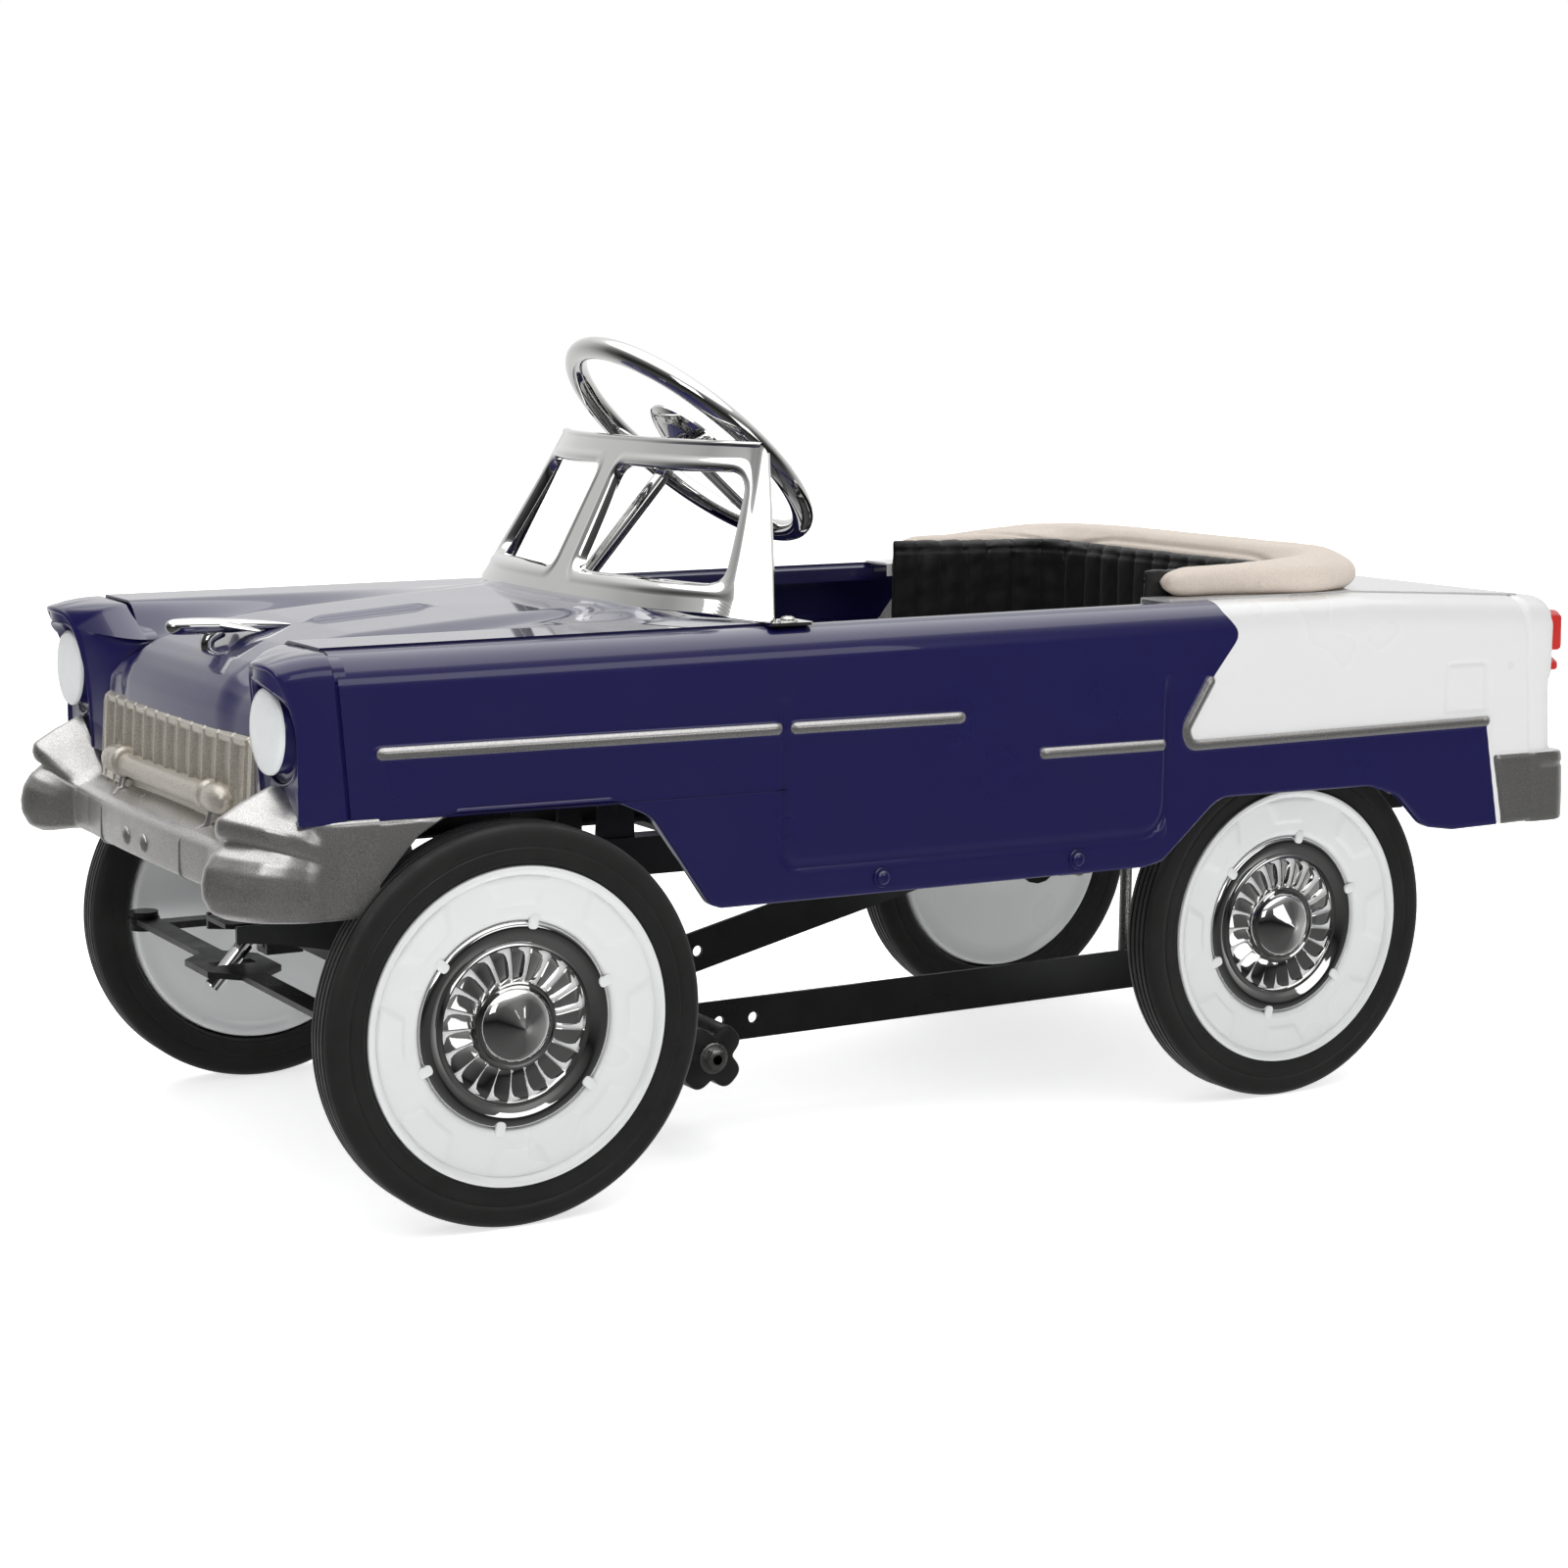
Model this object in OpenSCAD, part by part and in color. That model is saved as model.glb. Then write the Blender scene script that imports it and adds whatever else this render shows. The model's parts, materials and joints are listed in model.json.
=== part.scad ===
// Steel pedal car: stamped body on a rail chassis, rod steering and a cranked rear axle.
// Origin on the ground under the middle of the car. Nose towards -Y, the driver's left +X, up +Z.

/* [Wheels] */
// Tyre outside diameter
wheel_d = 254; // [250:1:256]
// Tyre width
tyre_w = 30; // [26:1:32]
// Radius of the steel wheel that the tyre sits on
rim_r = 100; // [96:1:102]
// Distance between the front and rear axles
wheelbase = 638; // [634:1:642]
// Distance from the middle of the car to the middle of a front tyre
front_track_half = 220; // [218:1:222]
// Distance from the middle of the car to the middle of a rear tyre
rear_track_half = 182; // [180:1:184]
// Radius of the chrome wheel cover
cap_r = 65; // [60:1:68]

/* [Body] */
// Body width over the sides
body_w = 444; // [440:1:448]
// Thickness of the pressed sheet
sheet_t = 1.6; // [1.2:0.1:2]
// Radius of the rounded shoulder along the sides
shoulder_r = 22; // [16:1:24]
// Height of the belt line at the middle of the car
belt_z = 366.4; // [364:0.2:369]
// Rise of the belt line towards the tail, in degrees
belt_tilt = 0.68; // [0:0.02:0.8]
// Front face of the car
nose_y = -534; // [-536:1:-532]
// Rear face of the car
tail_y = 534; // [532:1:536]
// Seam between the body and the front clip
front_seam_y = -461; // [-463:1:-459]
// Seam between the body and the rear clip
rear_seam_y = 489; // [487:1:491]

/* [Steering] */
// Slope of the steering column above the horizontal, in degrees
column_angle = 49; // [48.5:0.1:49.5]
// Diameter of the steering rod
column_d = 11; // [10:0.5:12]
// Sideways throw of the cranked foot of the steering rod
column_throw = 35; // [34:0.5:36]
// Steering wheel diameter
steering_wheel_d = 211; // [205:1:214]
// Diameter of the steering wheel's rim section
rim_d = 15; // [13:0.5:16]

/* [Drive] */
// Diameter of the cranked rear axle
axle_d = 9.5; // [9:0.5:10]
// Crank throw, from the axle's centre to a crank pin
crank_throw = 58; // [56:1:60]
// Height of the flat drive straps
strap_h = 30; // [26:1:32]
// Thickness of the flat drive straps
strap_t = 3; // [2.5:0.5:4]
// Distance of a drive strap's inner face from the middle of the car
strap_x = 40; // [38:1:42]
// Length of a pedal block
pedal_l = 88; // [80:1:92]
// Width and height of a pedal block over its lobes
pedal_w = 45; // [40:1:46]

/* [Hidden] */

// Colours
navy = "midnightblue";
silver = "silver";
chrome = "gainsboro";
black = "#202022";
rubber = "#2c2c2c";
white = "whitesmoke";
cream = "antiquewhite";
champagne = "tan";
$fn = 48;

// Places shared by several pieces
axle_z = wheel_d / 2;
front_axle_y = -352;
rear_axle_y = front_axle_y + wheelbase;
half_w = body_w / 2;
cockpit_x = half_w - shoulder_r;   // edge of the cockpit opening
nose_x = 138;                      // half width of the hood's nose
fit = 0.05;                        // radial running clearance
gap = 0.3;                         // clearance between pieces that pass each other

// Wheel arches and sills, as (y, z) along the lower edge of a body side, front to back
sill_z = 186;
arch_front_top = 260;
arch_rear_top = 231;
bumper_low_z = 203;
side_low = [
  [front_seam_y, bumper_low_z], [-459, bumper_low_z + 1], [-414, 249], [-392, arch_front_top],
  [-279, arch_front_top], [-254, 249], [-230, 215], [-212, 190], [-204, sill_z],
  [134, sill_z], [148, 189], [198, arch_rear_top], [338, arch_rear_top], [366, 221], [392, 196],
  [420, 192], [rear_seam_y, 193]
];

// Rails and axle supports
rail_x = 100;
rail_w = 20;
rail_z0 = 190;
rail_h = 26;
rail_t = 2;
rail_y0 = -420;
rail_y1 = 470;
bush_x = 120;
bush_r = 9;
hanger_t = 3;
cross_w = 26;
cross_t = 4;
sill_member_y = [-83, 75];

// Steering layout: the column's axis passes through the steering wheel's centre
wheel_centre = [0, -109, 475];
column_dir = [0, cos(column_angle), sin(column_angle)];
column_drop = 427;                 // from the wheel's centre down to the crank bend
column_foot_z = 160;
tie_y = -451;
tie_z = 129.5;
tie_t = 4;
kingpin_x = 178;
kingpin_r = 5;
knuckle_r = 10;
knuckle_h = 44;
spindle_r = 6;
arm_y = tie_y - front_axle_y;

// Drive layout
hanger_top = [-221, 262];          // (y, z) of the pedal hangers' upper pivot
strap_front = [-221, 64];          // (y, z) of the straps' front pivot
pedal_y = -160;
bearing_r = 8;
axle_r = axle_d / 2;

// ---- helpers ----

function arc(centre, r, a0, a1, n = 8) =
  [for (i = [0:n]) let (a = a0 + (a1 - a0) * i / n) [centre[0] + r * cos(a), centre[1] + r * sin(a)]];
function reversed(list) = [for (i = [len(list) - 1:-1:0]) list[i]];
function flipped(list) = [for (p = reversed(list)) [-p[0], p[1]]];

// Extrudes a (y, z) outline from x0 to x1
module along_x(x0, x1) translate([x0, 0, 0]) rotate([90, 0, 90]) linear_extrude(x1 - x0) children();
// Extrudes an (x, z) outline from y0 to y1
module along_y(y0, y1) translate([0, y1, 0]) rotate([90, 0, 0]) linear_extrude(y1 - y0) children();
module rod_x(x0, x1, at, r) translate([x0, at[0], at[1]]) rotate([0, 90, 0]) cylinder(h = x1 - x0, r = r);
module both_sides() {
  children();
  mirror([1, 0, 0]) children();
}
// Stands children up on the steering column's axis, with their origin at the steering wheel's centre
module on_column() translate(wheel_centre) rotate([column_angle - 90, 0, 0]) children();

// A closed sheet: a grid of points and the same grid moved by offset, joined round the edges
module loft_sheet(grid, offset) {
  rows = len(grid);
  cols = len(grid[0]);
  n = rows * cols;
  front = [for (row = grid, p = row) p];
  back = [for (p = front) p + offset];
  function at(i, j) = i * cols + j;
  polyhedron(
    points = concat(front, back),
    faces = concat(
      [for (i = [0:rows - 2], j = [0:cols - 2], k = [0, 1])
        k == 0 ? [at(i, j), at(i, j + 1), at(i + 1, j + 1)] : [at(i, j), at(i + 1, j + 1), at(i + 1, j)]],
      [for (i = [0:rows - 2], j = [0:cols - 2], k = [0, 1])
        k == 0 ? [n + at(i, j), n + at(i + 1, j + 1), n + at(i, j + 1)]
               : [n + at(i, j), n + at(i + 1, j), n + at(i + 1, j + 1)]],
      [for (j = [0:cols - 2], k = [0, 1])
        k == 0 ? [at(0, j), n + at(0, j), n + at(0, j + 1)] : [at(0, j), n + at(0, j + 1), at(0, j + 1)]],
      [for (j = [0:cols - 2], k = [0, 1])
        k == 0 ? [at(rows - 1, j), n + at(rows - 1, j + 1), n + at(rows - 1, j)]
               : [at(rows - 1, j), at(rows - 1, j + 1), n + at(rows - 1, j + 1)]],
      [for (i = [0:rows - 2], k = [0, 1])
        k == 0 ? [at(i, 0), n + at(i + 1, 0), n + at(i, 0)] : [at(i, 0), at(i + 1, 0), n + at(i + 1, 0)]],
      [for (i = [0:rows - 2], k = [0, 1])
        k == 0 ? [at(i, cols - 1), n + at(i, cols - 1), n + at(i + 1, cols - 1)]
               : [at(i, cols - 1), n + at(i + 1, cols - 1), at(i + 1, cols - 1)]]));
}

// ---- body shell ----

section_depth = 250;               // how far the body sections reach below the belt line
deck_break_y = 330;
deck_fall = 2.6;
module tub_section(inset) {
  r = shoulder_r - inset;
  side = arc([half_w - shoulder_r, -shoulder_r], r, 0, 90);
  polygon(concat(
    [[half_w - inset, -section_depth]], side, flipped(side), [[inset - half_w, -section_depth]]));
}
module tub_prism(y, z, tilt, inset)
  translate([0, y, z]) rotate([tilt, 0, 0]) along_y(-1100, 1100) tub_section(inset);
// The belt line rises gently to the deck and then falls towards the tail
module tub_solid(inset) intersection() {
  tub_prism(0, belt_z, belt_tilt, inset);
  tub_prism(deck_break_y, belt_z + deck_break_y * sin(belt_tilt), -deck_fall, inset);
}
module tub_shell() intersection() {
  difference() {
    tub_solid(0);
    tub_solid(sheet_t);
  }
  along_x(-half_w, half_w)
    polygon(concat(side_low, [[rear_seam_y, 380], [front_seam_y, 380]]));
}
module body_side() intersection() {
  tub_shell();
  translate([cockpit_x, -600, 0]) cube([shoulder_r, 1200, 400]);
}

// Hood: a middle panel that falls towards the nose, a valley, and the fender at belt height
valley_x = 112;
fender_x = 152;
function ease(a, b, v) = let (t = max(0, min(1, (v - a) / (b - a)))) t * t * (3 - 2 * t);
function belt(y) = belt_z + y * tan(belt_tilt);
function hood_line(y) = lookup(y, [
  [-461, 344.5], [-440, 350], [-397, 356.5], [-300, 364.5], [-216, 369], [-150, 371]]);
function valley_depth(y) = lookup(y, [[-461, 9], [-300, 5], [-216, 2]]);
function cowl_y(u) = lookup(u, [[0, -216], [100, -205], [160, -180], [200, -152]]);
function hood_z(u, y) = let (valley = hood_line(y) - valley_depth(y))
  u < valley_x ? hood_line(y) - valley_depth(y) * ease(80, valley_x, u)
               : valley + (belt(y) - valley) * ease(valley_x, fender_x, u);
hood_grid = [for (i = [0:14]) [for (j = [16:-1:-16])
  let (x = j / 16 * cockpit_x, y = front_seam_y + i / 14 * (cowl_y(abs(x)) - front_seam_y))
    [x, y, hood_z(abs(x), y)]]];
grille_half = 138;
grille_top = [-488, 303];          // (y, z) of the top and bottom edges of the grille
grille_bottom = [-491, 243];
nose_line = [grille_top, [-486, 326], [-480, 335], [-470, 341.3], [-461, 344], [-451, 346.6]];
nose_grid = [for (p = nose_line) [for (j = [10:-1:-10])
  let (x = j / 10 * nose_x, fall = valley_depth(p[0]) * ease(303, 336, p[1]))
    [x, p[0], p[1] - fall * ease(80, valley_x, abs(x))]]];

// Front clip: lamp nacelles over a wrap-round bumper
lamp_x = 193;
lamp_z = 313;
lamp_r = 25;
lamp_face_y = -500;
visor_y = -510;
nacelle_x = grille_half + 1;       // inner side of a lamp nacelle
nacelle_low_z = 250;
module nacelle(inset) hull() {
  along_y(front_seam_y - 1, front_seam_y)
    polygon([[nacelle_x + inset, nacelle_low_z], [half_w - inset, nacelle_low_z],
             [half_w - inset, 339 - inset],
             [half_w - 20, 360 - inset], [fender_x, 360 - inset], [nacelle_x + inset, 340 - inset]]);
  translate([lamp_x - 6, visor_y + inset, lamp_z + 5]) rotate([-90, 0, 0])
    cylinder(h = 10, r = 33 - inset, $fn = 32);
  translate([nacelle_x + inset, -488 + inset, nacelle_low_z]) cube([half_w - nacelle_x - 2 * inset, 10, 30]);
}
bulge_r = 31;
module bumper_end(inset) hull() {
  translate([186, nose_y + bulge_r, 228]) sphere(r = bulge_r - inset, $fn = 32);
  along_y(front_seam_y - 1, front_seam_y)
    polygon([[nacelle_x + inset, bumper_low_z + inset], [half_w - inset, bumper_low_z + inset],
             [half_w - inset, nacelle_low_z - inset], [nacelle_x + inset, nacelle_low_z - inset]]);
  translate([nacelle_x - 2 + inset, -508 + inset, bumper_low_z + inset]) cube([20, 20, 34 - 2 * inset]);
}

// ---- wheels, lying along +X with the wheel's middle plane at x = 0 ----

module spun() rotate([90, 0, 90]) rotate_extrude($fn = 96) children();
tread_groove = 2;
hub_r = 11;
hub_l = 27;
cap_back_x = 4;                    // where the wheel cover meets the wheel, out from the middle plane
module tyre() spun() difference() {
  polygon(concat([[rim_r, -tyre_w / 2 + 2], [rim_r + 8, -tyre_w / 2]],
    arc([axle_z - 7, -tyre_w / 2 + 7], 7, -90, 0, 5), arc([axle_z - 7, tyre_w / 2 - 7], 7, 0, 90, 5),
    [[rim_r + 8, tyre_w / 2], [rim_r, tyre_w / 2 - 2]]));
  for (s = [-8, 0, 8]) translate([axle_z - tread_groove, s - 1]) square([tread_groove + 1, 2]);
}
// Two dished steel discs on a hub sleeve, closed by the rim channel
module wheel_disc(hub_in, hub_out) spun() {
  t = 2;
  polygon([[rim_r, -11], [rim_r, 13.5], [rim_r - 3, 13.5], [cap_r + 3, 10], [cap_r, cap_back_x],
           [hub_r - 1, cap_back_x], [hub_r - 1, cap_back_x - t], [cap_r + 1, cap_back_x - t],
           [cap_r + 4, 10 - t], [rim_r - 4, 13.5 - t], [rim_r - 2, 12 - t], [rim_r - 2, -9], [rim_r - 5, -9],
           [hub_r - 1, -5], [hub_r - 1, -7], [rim_r - 5, -11]]);
  translate([spindle_r + fit, hub_in]) square([hub_r - spindle_r - fit, hub_out - hub_in]);
}
// Chrome cover: rolled edge, finned ring and a pointed centre, hollow behind
fins = 22;
module wheel_cap() {
  k = cap_r / 65;
  spun() polygon([for (p = [[65, cap_back_x], [65, 6], [62, 8.5], [57, 9.5], [52, 7], [49, 6], [30, 8],
                            [25, 8.5], [23, 11.5], [14, 15], [3, 19.5], [0, 20],
                            [0, 18.4], [13, 13.4], [21, 10], [24, 6.8], [30, 6.2], [49, 4.4], [53, 5.2],
                            [60, 7.2], [63, cap_back_x]]) [k * p[0], p[1]]]);
  for (i = [0:fins - 1]) rotate([i * 360 / fins, 0, 0]) translate([6, -1, 31 * k]) cube([2.4, 2, 17 * k]);
}
module wheel_at(side, y, track)
  translate([side * track, y, axle_z]) mirror([side < 0 ? 1 : 0, 0, 0]) children();

// ---- one module per node ----

module hood_panel() color(navy) {
  loft_sheet(hood_grid, [0, 0, -sheet_t]);
  loft_sheet(nose_grid, [0, 1.2, -sheet_t]);
}
module left_body_side() color(navy) body_side();
module right_body_side() color(navy) mirror([1, 0, 0]) body_side();

// Opening for the seat: a U in plan, as half width, rear edge and rear corner radius
well_x = 190;
well_rear_y = 332;
well_r = 95;
module well_outline(grow) {
  corner = arc([well_x - well_r, well_rear_y - well_r], well_r + grow, 0, 90, 12);
  polygon(concat([[well_x + grow, 165]], corner, flipped(corner), [[-well_x - grow, 165]]));
}
module rear_deck() color(white) difference() {
  intersection() {
    tub_shell();
    translate([-cockpit_x, 165, 300]) cube([2 * cockpit_x, rear_seam_y - 165, 100]);
  }
  translate([0, -1, 300]) linear_extrude(120) well_outline(0);
}

guard_x = 75;
bar_face_y = -512;
bar_low_z = 206;
module front_clip() color(silver) {
  both_sides() difference() {
    nacelle(0);
    nacelle(sheet_t + 0.6);
    translate([lamp_x - 6, visor_y - 5, lamp_z]) rotate([-90, 0, 0]) cylinder(h = 22, r = 28);
    translate([lamp_x, lamp_face_y - 8, lamp_z]) rotate([-90, 0, 0]) cylinder(h = 12, r = lamp_r + 1.5);
  }
  both_sides() difference() {
    bumper_end(0);
    bumper_end(sheet_t + 0.6);
    translate([100, -560, nacelle_low_z]) cube([140, 120, 40]);
  }
  // Channel-shaped bar between the bumper ends, with two screw holes
  difference() {
    along_x(-nacelle_x, nacelle_x) translate([bar_face_y, bar_low_z])
      polygon([[0, 2], [2, 0], [14, 0], [14, 3], [3, 3], [3, 26], [21, 33], [21, 36], [4, 32], [0, 28]]);
    for (s = [-1, 1])
      translate([s * 16, bar_face_y - 5, bar_low_z + 14]) rotate([-90, 0, 0]) cylinder(h = 20, r = 3);
  }
  for (s = [-1, 1]) along_x(s * guard_x - 3, s * guard_x + 3) translate([bar_face_y, bar_low_z])
    polygon([[0, 2], [-4, 4], [-4, 27], [6, 35], [6, 30], [0, 27]]);
}

module rear_clip_outline(inset) polygon([
  [rear_seam_y, 193 + inset], [tail_y - inset, 195 + inset], [tail_y - inset, 214],
  [tail_y - 12 - inset, 250], [tail_y - 18 - inset, 300], [tail_y - 18 - inset, 354 - inset],
  [tail_y - 27, 358 - inset], [rear_seam_y, 363 - inset]]);
module rear_clip() color(white) difference() {
  intersection() {
    tub_solid(0);
    along_x(-half_w, half_w) rear_clip_outline(0);
  }
  intersection() {
    tub_solid(sheet_t);
    along_x(-half_w, half_w) translate([-0.01, 0]) rear_clip_outline(sheet_t);
  }
}

// Pressed panel, leaning back, with upright bars and a cross bar between two pods
module grille() color(champagne) {
  sheet = 3;
  lean = atan2(grille_bottom[0] - grille_top[0], grille_top[1] - grille_bottom[1]);
  bar_l = norm(grille_top - grille_bottom);
  translate([0, grille_top[0] + 1, grille_top[1] - 2.5]) rotate([-lean, 0, 0]) {
    translate([-grille_half, 0, -bar_l]) cube([2 * grille_half, sheet, bar_l]);
    for (x = [-126:10.5:126]) translate([x - 1.5, -3, -bar_l + 2]) cube([3, 4, bar_l - 4]);
    rod_x(-70, 70, [-3, -40], 6);
    for (s = [-1, 1]) rod_x(s * 84 - 15, s * 84 + 15, [-3, -40], 8);
  }
}
module headlamps() color(white)
  both_sides() translate([lamp_x, lamp_face_y, lamp_z]) rotate([-90, 0, 0]) cylinder(h = 4, r = lamp_r + 1);
module tail_lenses() color("firebrick") both_sides() {
  lens_y = tail_y - 18;
  translate([half_w - 21, lens_y, 322]) cube([17, 8, 28]);
  translate([half_w - 21, lens_y, 306]) cube([17, 5, 12]);
}
ornament_z = 365;
module hood_ornament() color(chrome) {
  translate([0, -490, ornament_z]) rotate([-90, 0, 0]) cylinder(h = 60, r1 = 4, r2 = 5.5);
  translate([0, -430, ornament_z]) rotate([-90, 0, 0]) cylinder(h = 26, r1 = 5.5, r2 = 1.5);
  along_x(-2, 2) polygon([[-470, ornament_z - 2], [-462, 344.9], [-440, 350.4], [-432, ornament_z - 2]]);
  translate([0, 0, ornament_z - 1.5]) linear_extrude(3)
    polygon([[-4, -470], [-34, -438], [-30, -432], [0, -446], [30, -432], [34, -438], [4, -470]]);
}

// Windscreen: a curved band that leans back and narrows upwards. across runs from -1 at the right
// post to 1 at the left one, up from 0 at the foot to 1 at the top edge.
screen_low_z = 370.5;
screen_top_z = 478;
screen_t = 2;
foot_t = 2.5;
foot_z = 364.8;                    // underside of the feet, on the shoulders
function blend(a, b, t) = a + (b - a) * t;
function screen_at(across, up) = let (k = abs(across))
  [blend(209, 147, up) * across,
   blend(-217 + 57 * pow(k, 3.4), -162 + 32 * pow(k, 2.6), up),
   blend(screen_low_z - 3.5 * ease(0.8, 1, k), screen_top_z, up)];
pane_steps = [-1, -0.97, -0.9, -0.8, -0.6, -0.4, -0.2, -0.07, 0.07, 0.2, 0.4, 0.6, 0.8, 0.9, 0.97, 1];
screen_grid = [for (k = pane_steps) [for (j = [0:8]) screen_at(k, j / 8)]];
pane = [[0.14, 0.145], [0.8, 0.145], [0.86, 0.21], [0.9, 0.78], [0.84, 0.845], [0.14, 0.845],
        [0.07, 0.78], [0.07, 0.21]];
module pane_cut() along_y(-260, -100) polygon([
  for (i = [0:7], t = [0:0.25:0.75])
    let (p = blend(pane[i], pane[(i + 1) % 8], t), q = screen_at(p[0], p[1])) [q[0], q[2]]]);
module windscreen_frame() color(chrome) {
  difference() {
    loft_sheet(screen_grid, [0, screen_t, 0]);
    both_sides() pane_cut();
  }
  for (s = [-1, 1]) translate([s * 202 - 10, -162, foot_z]) cube([20, 22, foot_t]);
}
module windscreen_screws() color(chrome)
  for (s = [-1, 1]) translate([s * 204, -147, foot_z + foot_t]) {
    cylinder(h = 2.5, r = 5);
    translate([0, 0, 2.5]) cylinder(h = 2, r1 = 3.5, r2 = 2);
  }
module body_bolts() color(black) for (s = [-1, 1], y = sill_member_y) {
  rod_x(s > 0 ? half_w : -half_w - 3, s > 0 ? half_w + 3 : -half_w, [y, 197], 5);
}

// ---- seat and trim ----

seat_z = 222;
seat_front_y = 24;
module seat_pan() color(black) {
  translate([-140, seat_front_y, seat_z - 3]) cube([280, 280, sheet_t]);
  both_sides() translate([140 - sheet_t, seat_front_y, seat_z - 3 + sheet_t]) cube([sheet_t, 280, 10]);
}
module seat_cushion() color(black)
  translate([-135, seat_front_y + 6, seat_z - 1]) cube([270, 272, 36]);
lining_t = 12;
lining_low = 258;
lining_top = 388;
module cockpit_lining() color(black)
  translate([0, 0, lining_low]) linear_extrude(lining_top - lining_low) difference() {
    well_outline(-2);
    translate([0, -0.1]) well_outline(-lining_t);
  }
boot_w = 36;
module boot_cover() color(cream)
  translate([0, 0, 372.5]) linear_extrude(22) difference() {
    intersection() {
      well_outline(boot_w);
      translate([-cockpit_x - 6, 160]) square([2 * cockpit_x + 12, 400]);
    }
    translate([0, -0.1]) well_outline(0);
  }

// ---- chassis ----

module rail() {
  difference() {
    translate([rail_x - rail_w / 2, rail_y0, rail_z0]) cube([rail_w, rail_y1 - rail_y0, rail_h]);
    translate([rail_x - rail_w / 2 - 1, rail_y0 - 1, rail_z0 + rail_t])
      cube([rail_w + 1 - rail_t, rail_y1 - rail_y0 + 2, rail_h - 2 * rail_t]);
  }
  difference() {
    along_x(rail_x + 4, rail_x + 8) polygon(concat(
      [[hanger_top[0] - 14, rail_z0 + rail_h], [hanger_top[0] + 14, rail_z0 + rail_h]],
      arc(hanger_top, 12, 0, 180)));
    rod_x(rail_x, rail_x + 12, hanger_top, 5);
  }
}
module left_rail() color(black) rail();
module right_rail() color(black) mirror([1, 0, 0]) rail();

module cross_members() color(black) {
  reach = half_w - sheet_t;
  for (y = sill_member_y) translate([0, y - cross_w / 2, 0]) {
    translate([-reach, 0, rail_z0 - cross_t]) cube([2 * reach, cross_w, cross_t]);
    for (s = [-1, 1]) translate([s > 0 ? reach - 3 : -reach, 0, rail_z0]) cube([3, cross_w, 18]);
  }
  for (y = [-410, 30, 262])
    translate([-rail_x - rail_w / 2, y, rail_z0 + rail_h]) cube([2 * rail_x + rail_w, 24, 3]);
}

yoke_x = 160;
beam_h = 18;
module front_axle_beam() color(black) {
  yoke_z = knuckle_h / 2 + gap;
  translate([-yoke_x, front_axle_y - 14, axle_z - beam_h / 2]) cube([2 * yoke_x, 28, beam_h]);
  both_sides() difference() {
    union() {
      translate([yoke_x, front_axle_y - 14, axle_z - yoke_z - 4]) cube([4, 28, 2 * yoke_z + 8]);
      for (z = [axle_z - yoke_z - 4, axle_z + yoke_z]) translate([0, front_axle_y, z]) linear_extrude(4)
        polygon(concat([[yoke_x + 4, -14]], arc([kingpin_x, 0], 14, -90, 90), [[yoke_x + 4, 14]]));
    }
    translate([kingpin_x, front_axle_y, 0]) cylinder(h = 300, r = kingpin_r);
  }
}
// Struts from the rails down to the axle beam
module front_struts() color(black) both_sides() {
  z0 = axle_z + beam_h / 2;
  translate([rail_x - 10, front_axle_y - 16, z0]) cube([3, 32, rail_z0 - z0]);
  translate([rail_x - 7, front_axle_y - 14, z0]) cube([16, 28, 3]);
}
// Sheet bracket that carries the foot of the steering rod, with a bush on the column's axis
module column_foot() color(black) difference() {
  union() {
    translate([0, 0, column_foot_z]) linear_extrude(3)
      polygon([[-26, -338], [26, -338], [26, -430], [18, -462], [-18, -462], [-26, -430]]);
    both_sides() along_x(26, 29) polygon([
      [-338, column_foot_z + 3], [-338, axle_z + beam_h / 2], [-366, axle_z + beam_h / 2],
      [-430, 149], [-458, 152], [-458, column_foot_z + 3]]);
    on_column() translate([0, 0, -column_drop + 16]) cylinder(h = 26, r = 11);
  }
  on_column() translate([0, 0, -600]) cylinder(h = 600, r = column_d / 2 + fit);
}
// Dash bracket with the column's upper bush
bracket_y = -240;
bracket_top = 360.7;
module column_bracket() color(black) difference() {
  union() {
    along_y(bracket_y, bracket_y + 3) polygon([[-60, bracket_top], [60, bracket_top], [20, 305], [-20, 305]]);
    translate([-60, bracket_y + 3, bracket_top - 3]) cube([120, 14, 3]);
    on_column() translate([0, 0, -204]) cylinder(h = 18, r = 11);
  }
  on_column() translate([0, 0, -300]) cylinder(h = 300, r = column_d / 2 + fit);
}
module axle_hangers() color(black) both_sides() difference() {
  along_x(bush_x - hanger_t / 2, bush_x + hanger_t / 2) polygon(concat(
    [[rear_axle_y - 40, rail_z0 + 12], [rear_axle_y - 34, rail_z0 - 4]],
    arc([rear_axle_y, axle_z], 20, 180, 360),
    [[rear_axle_y + 34, rail_z0 - 4], [rear_axle_y + 40, rail_z0 + 12]]));
  rod_x(bush_x - 10, bush_x + 10, [rear_axle_y, axle_z], bush_r);
}
module axle_bushes() color("ivory") both_sides() difference() {
  union() {
    rod_x(bush_x - hanger_t / 2, bush_x + 10, [rear_axle_y, axle_z], bush_r);
    rod_x(bush_x - hanger_t / 2 - 3, bush_x - hanger_t / 2, [rear_axle_y, axle_z], bush_r + 4);
  }
  rod_x(bush_x - 20, bush_x + 20, [rear_axle_y, axle_z], axle_r + fit);
}
module hanger_rod() color(chrome) rod_x(-rail_x - 12, rail_x + 12, hanger_top, 5);
module kingpins() color(chrome) for (s = [-1, 1]) translate([s * kingpin_x, front_axle_y, axle_z]) {
  reach = knuckle_h / 2 + gap + 4;
  translate([0, 0, -reach - 3]) cylinder(h = 2 * reach + 3, r = kingpin_r);
  translate([0, 0, reach]) cylinder(h = 5, r = 9, $fn = 6);
}

// ---- steering ----

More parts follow.
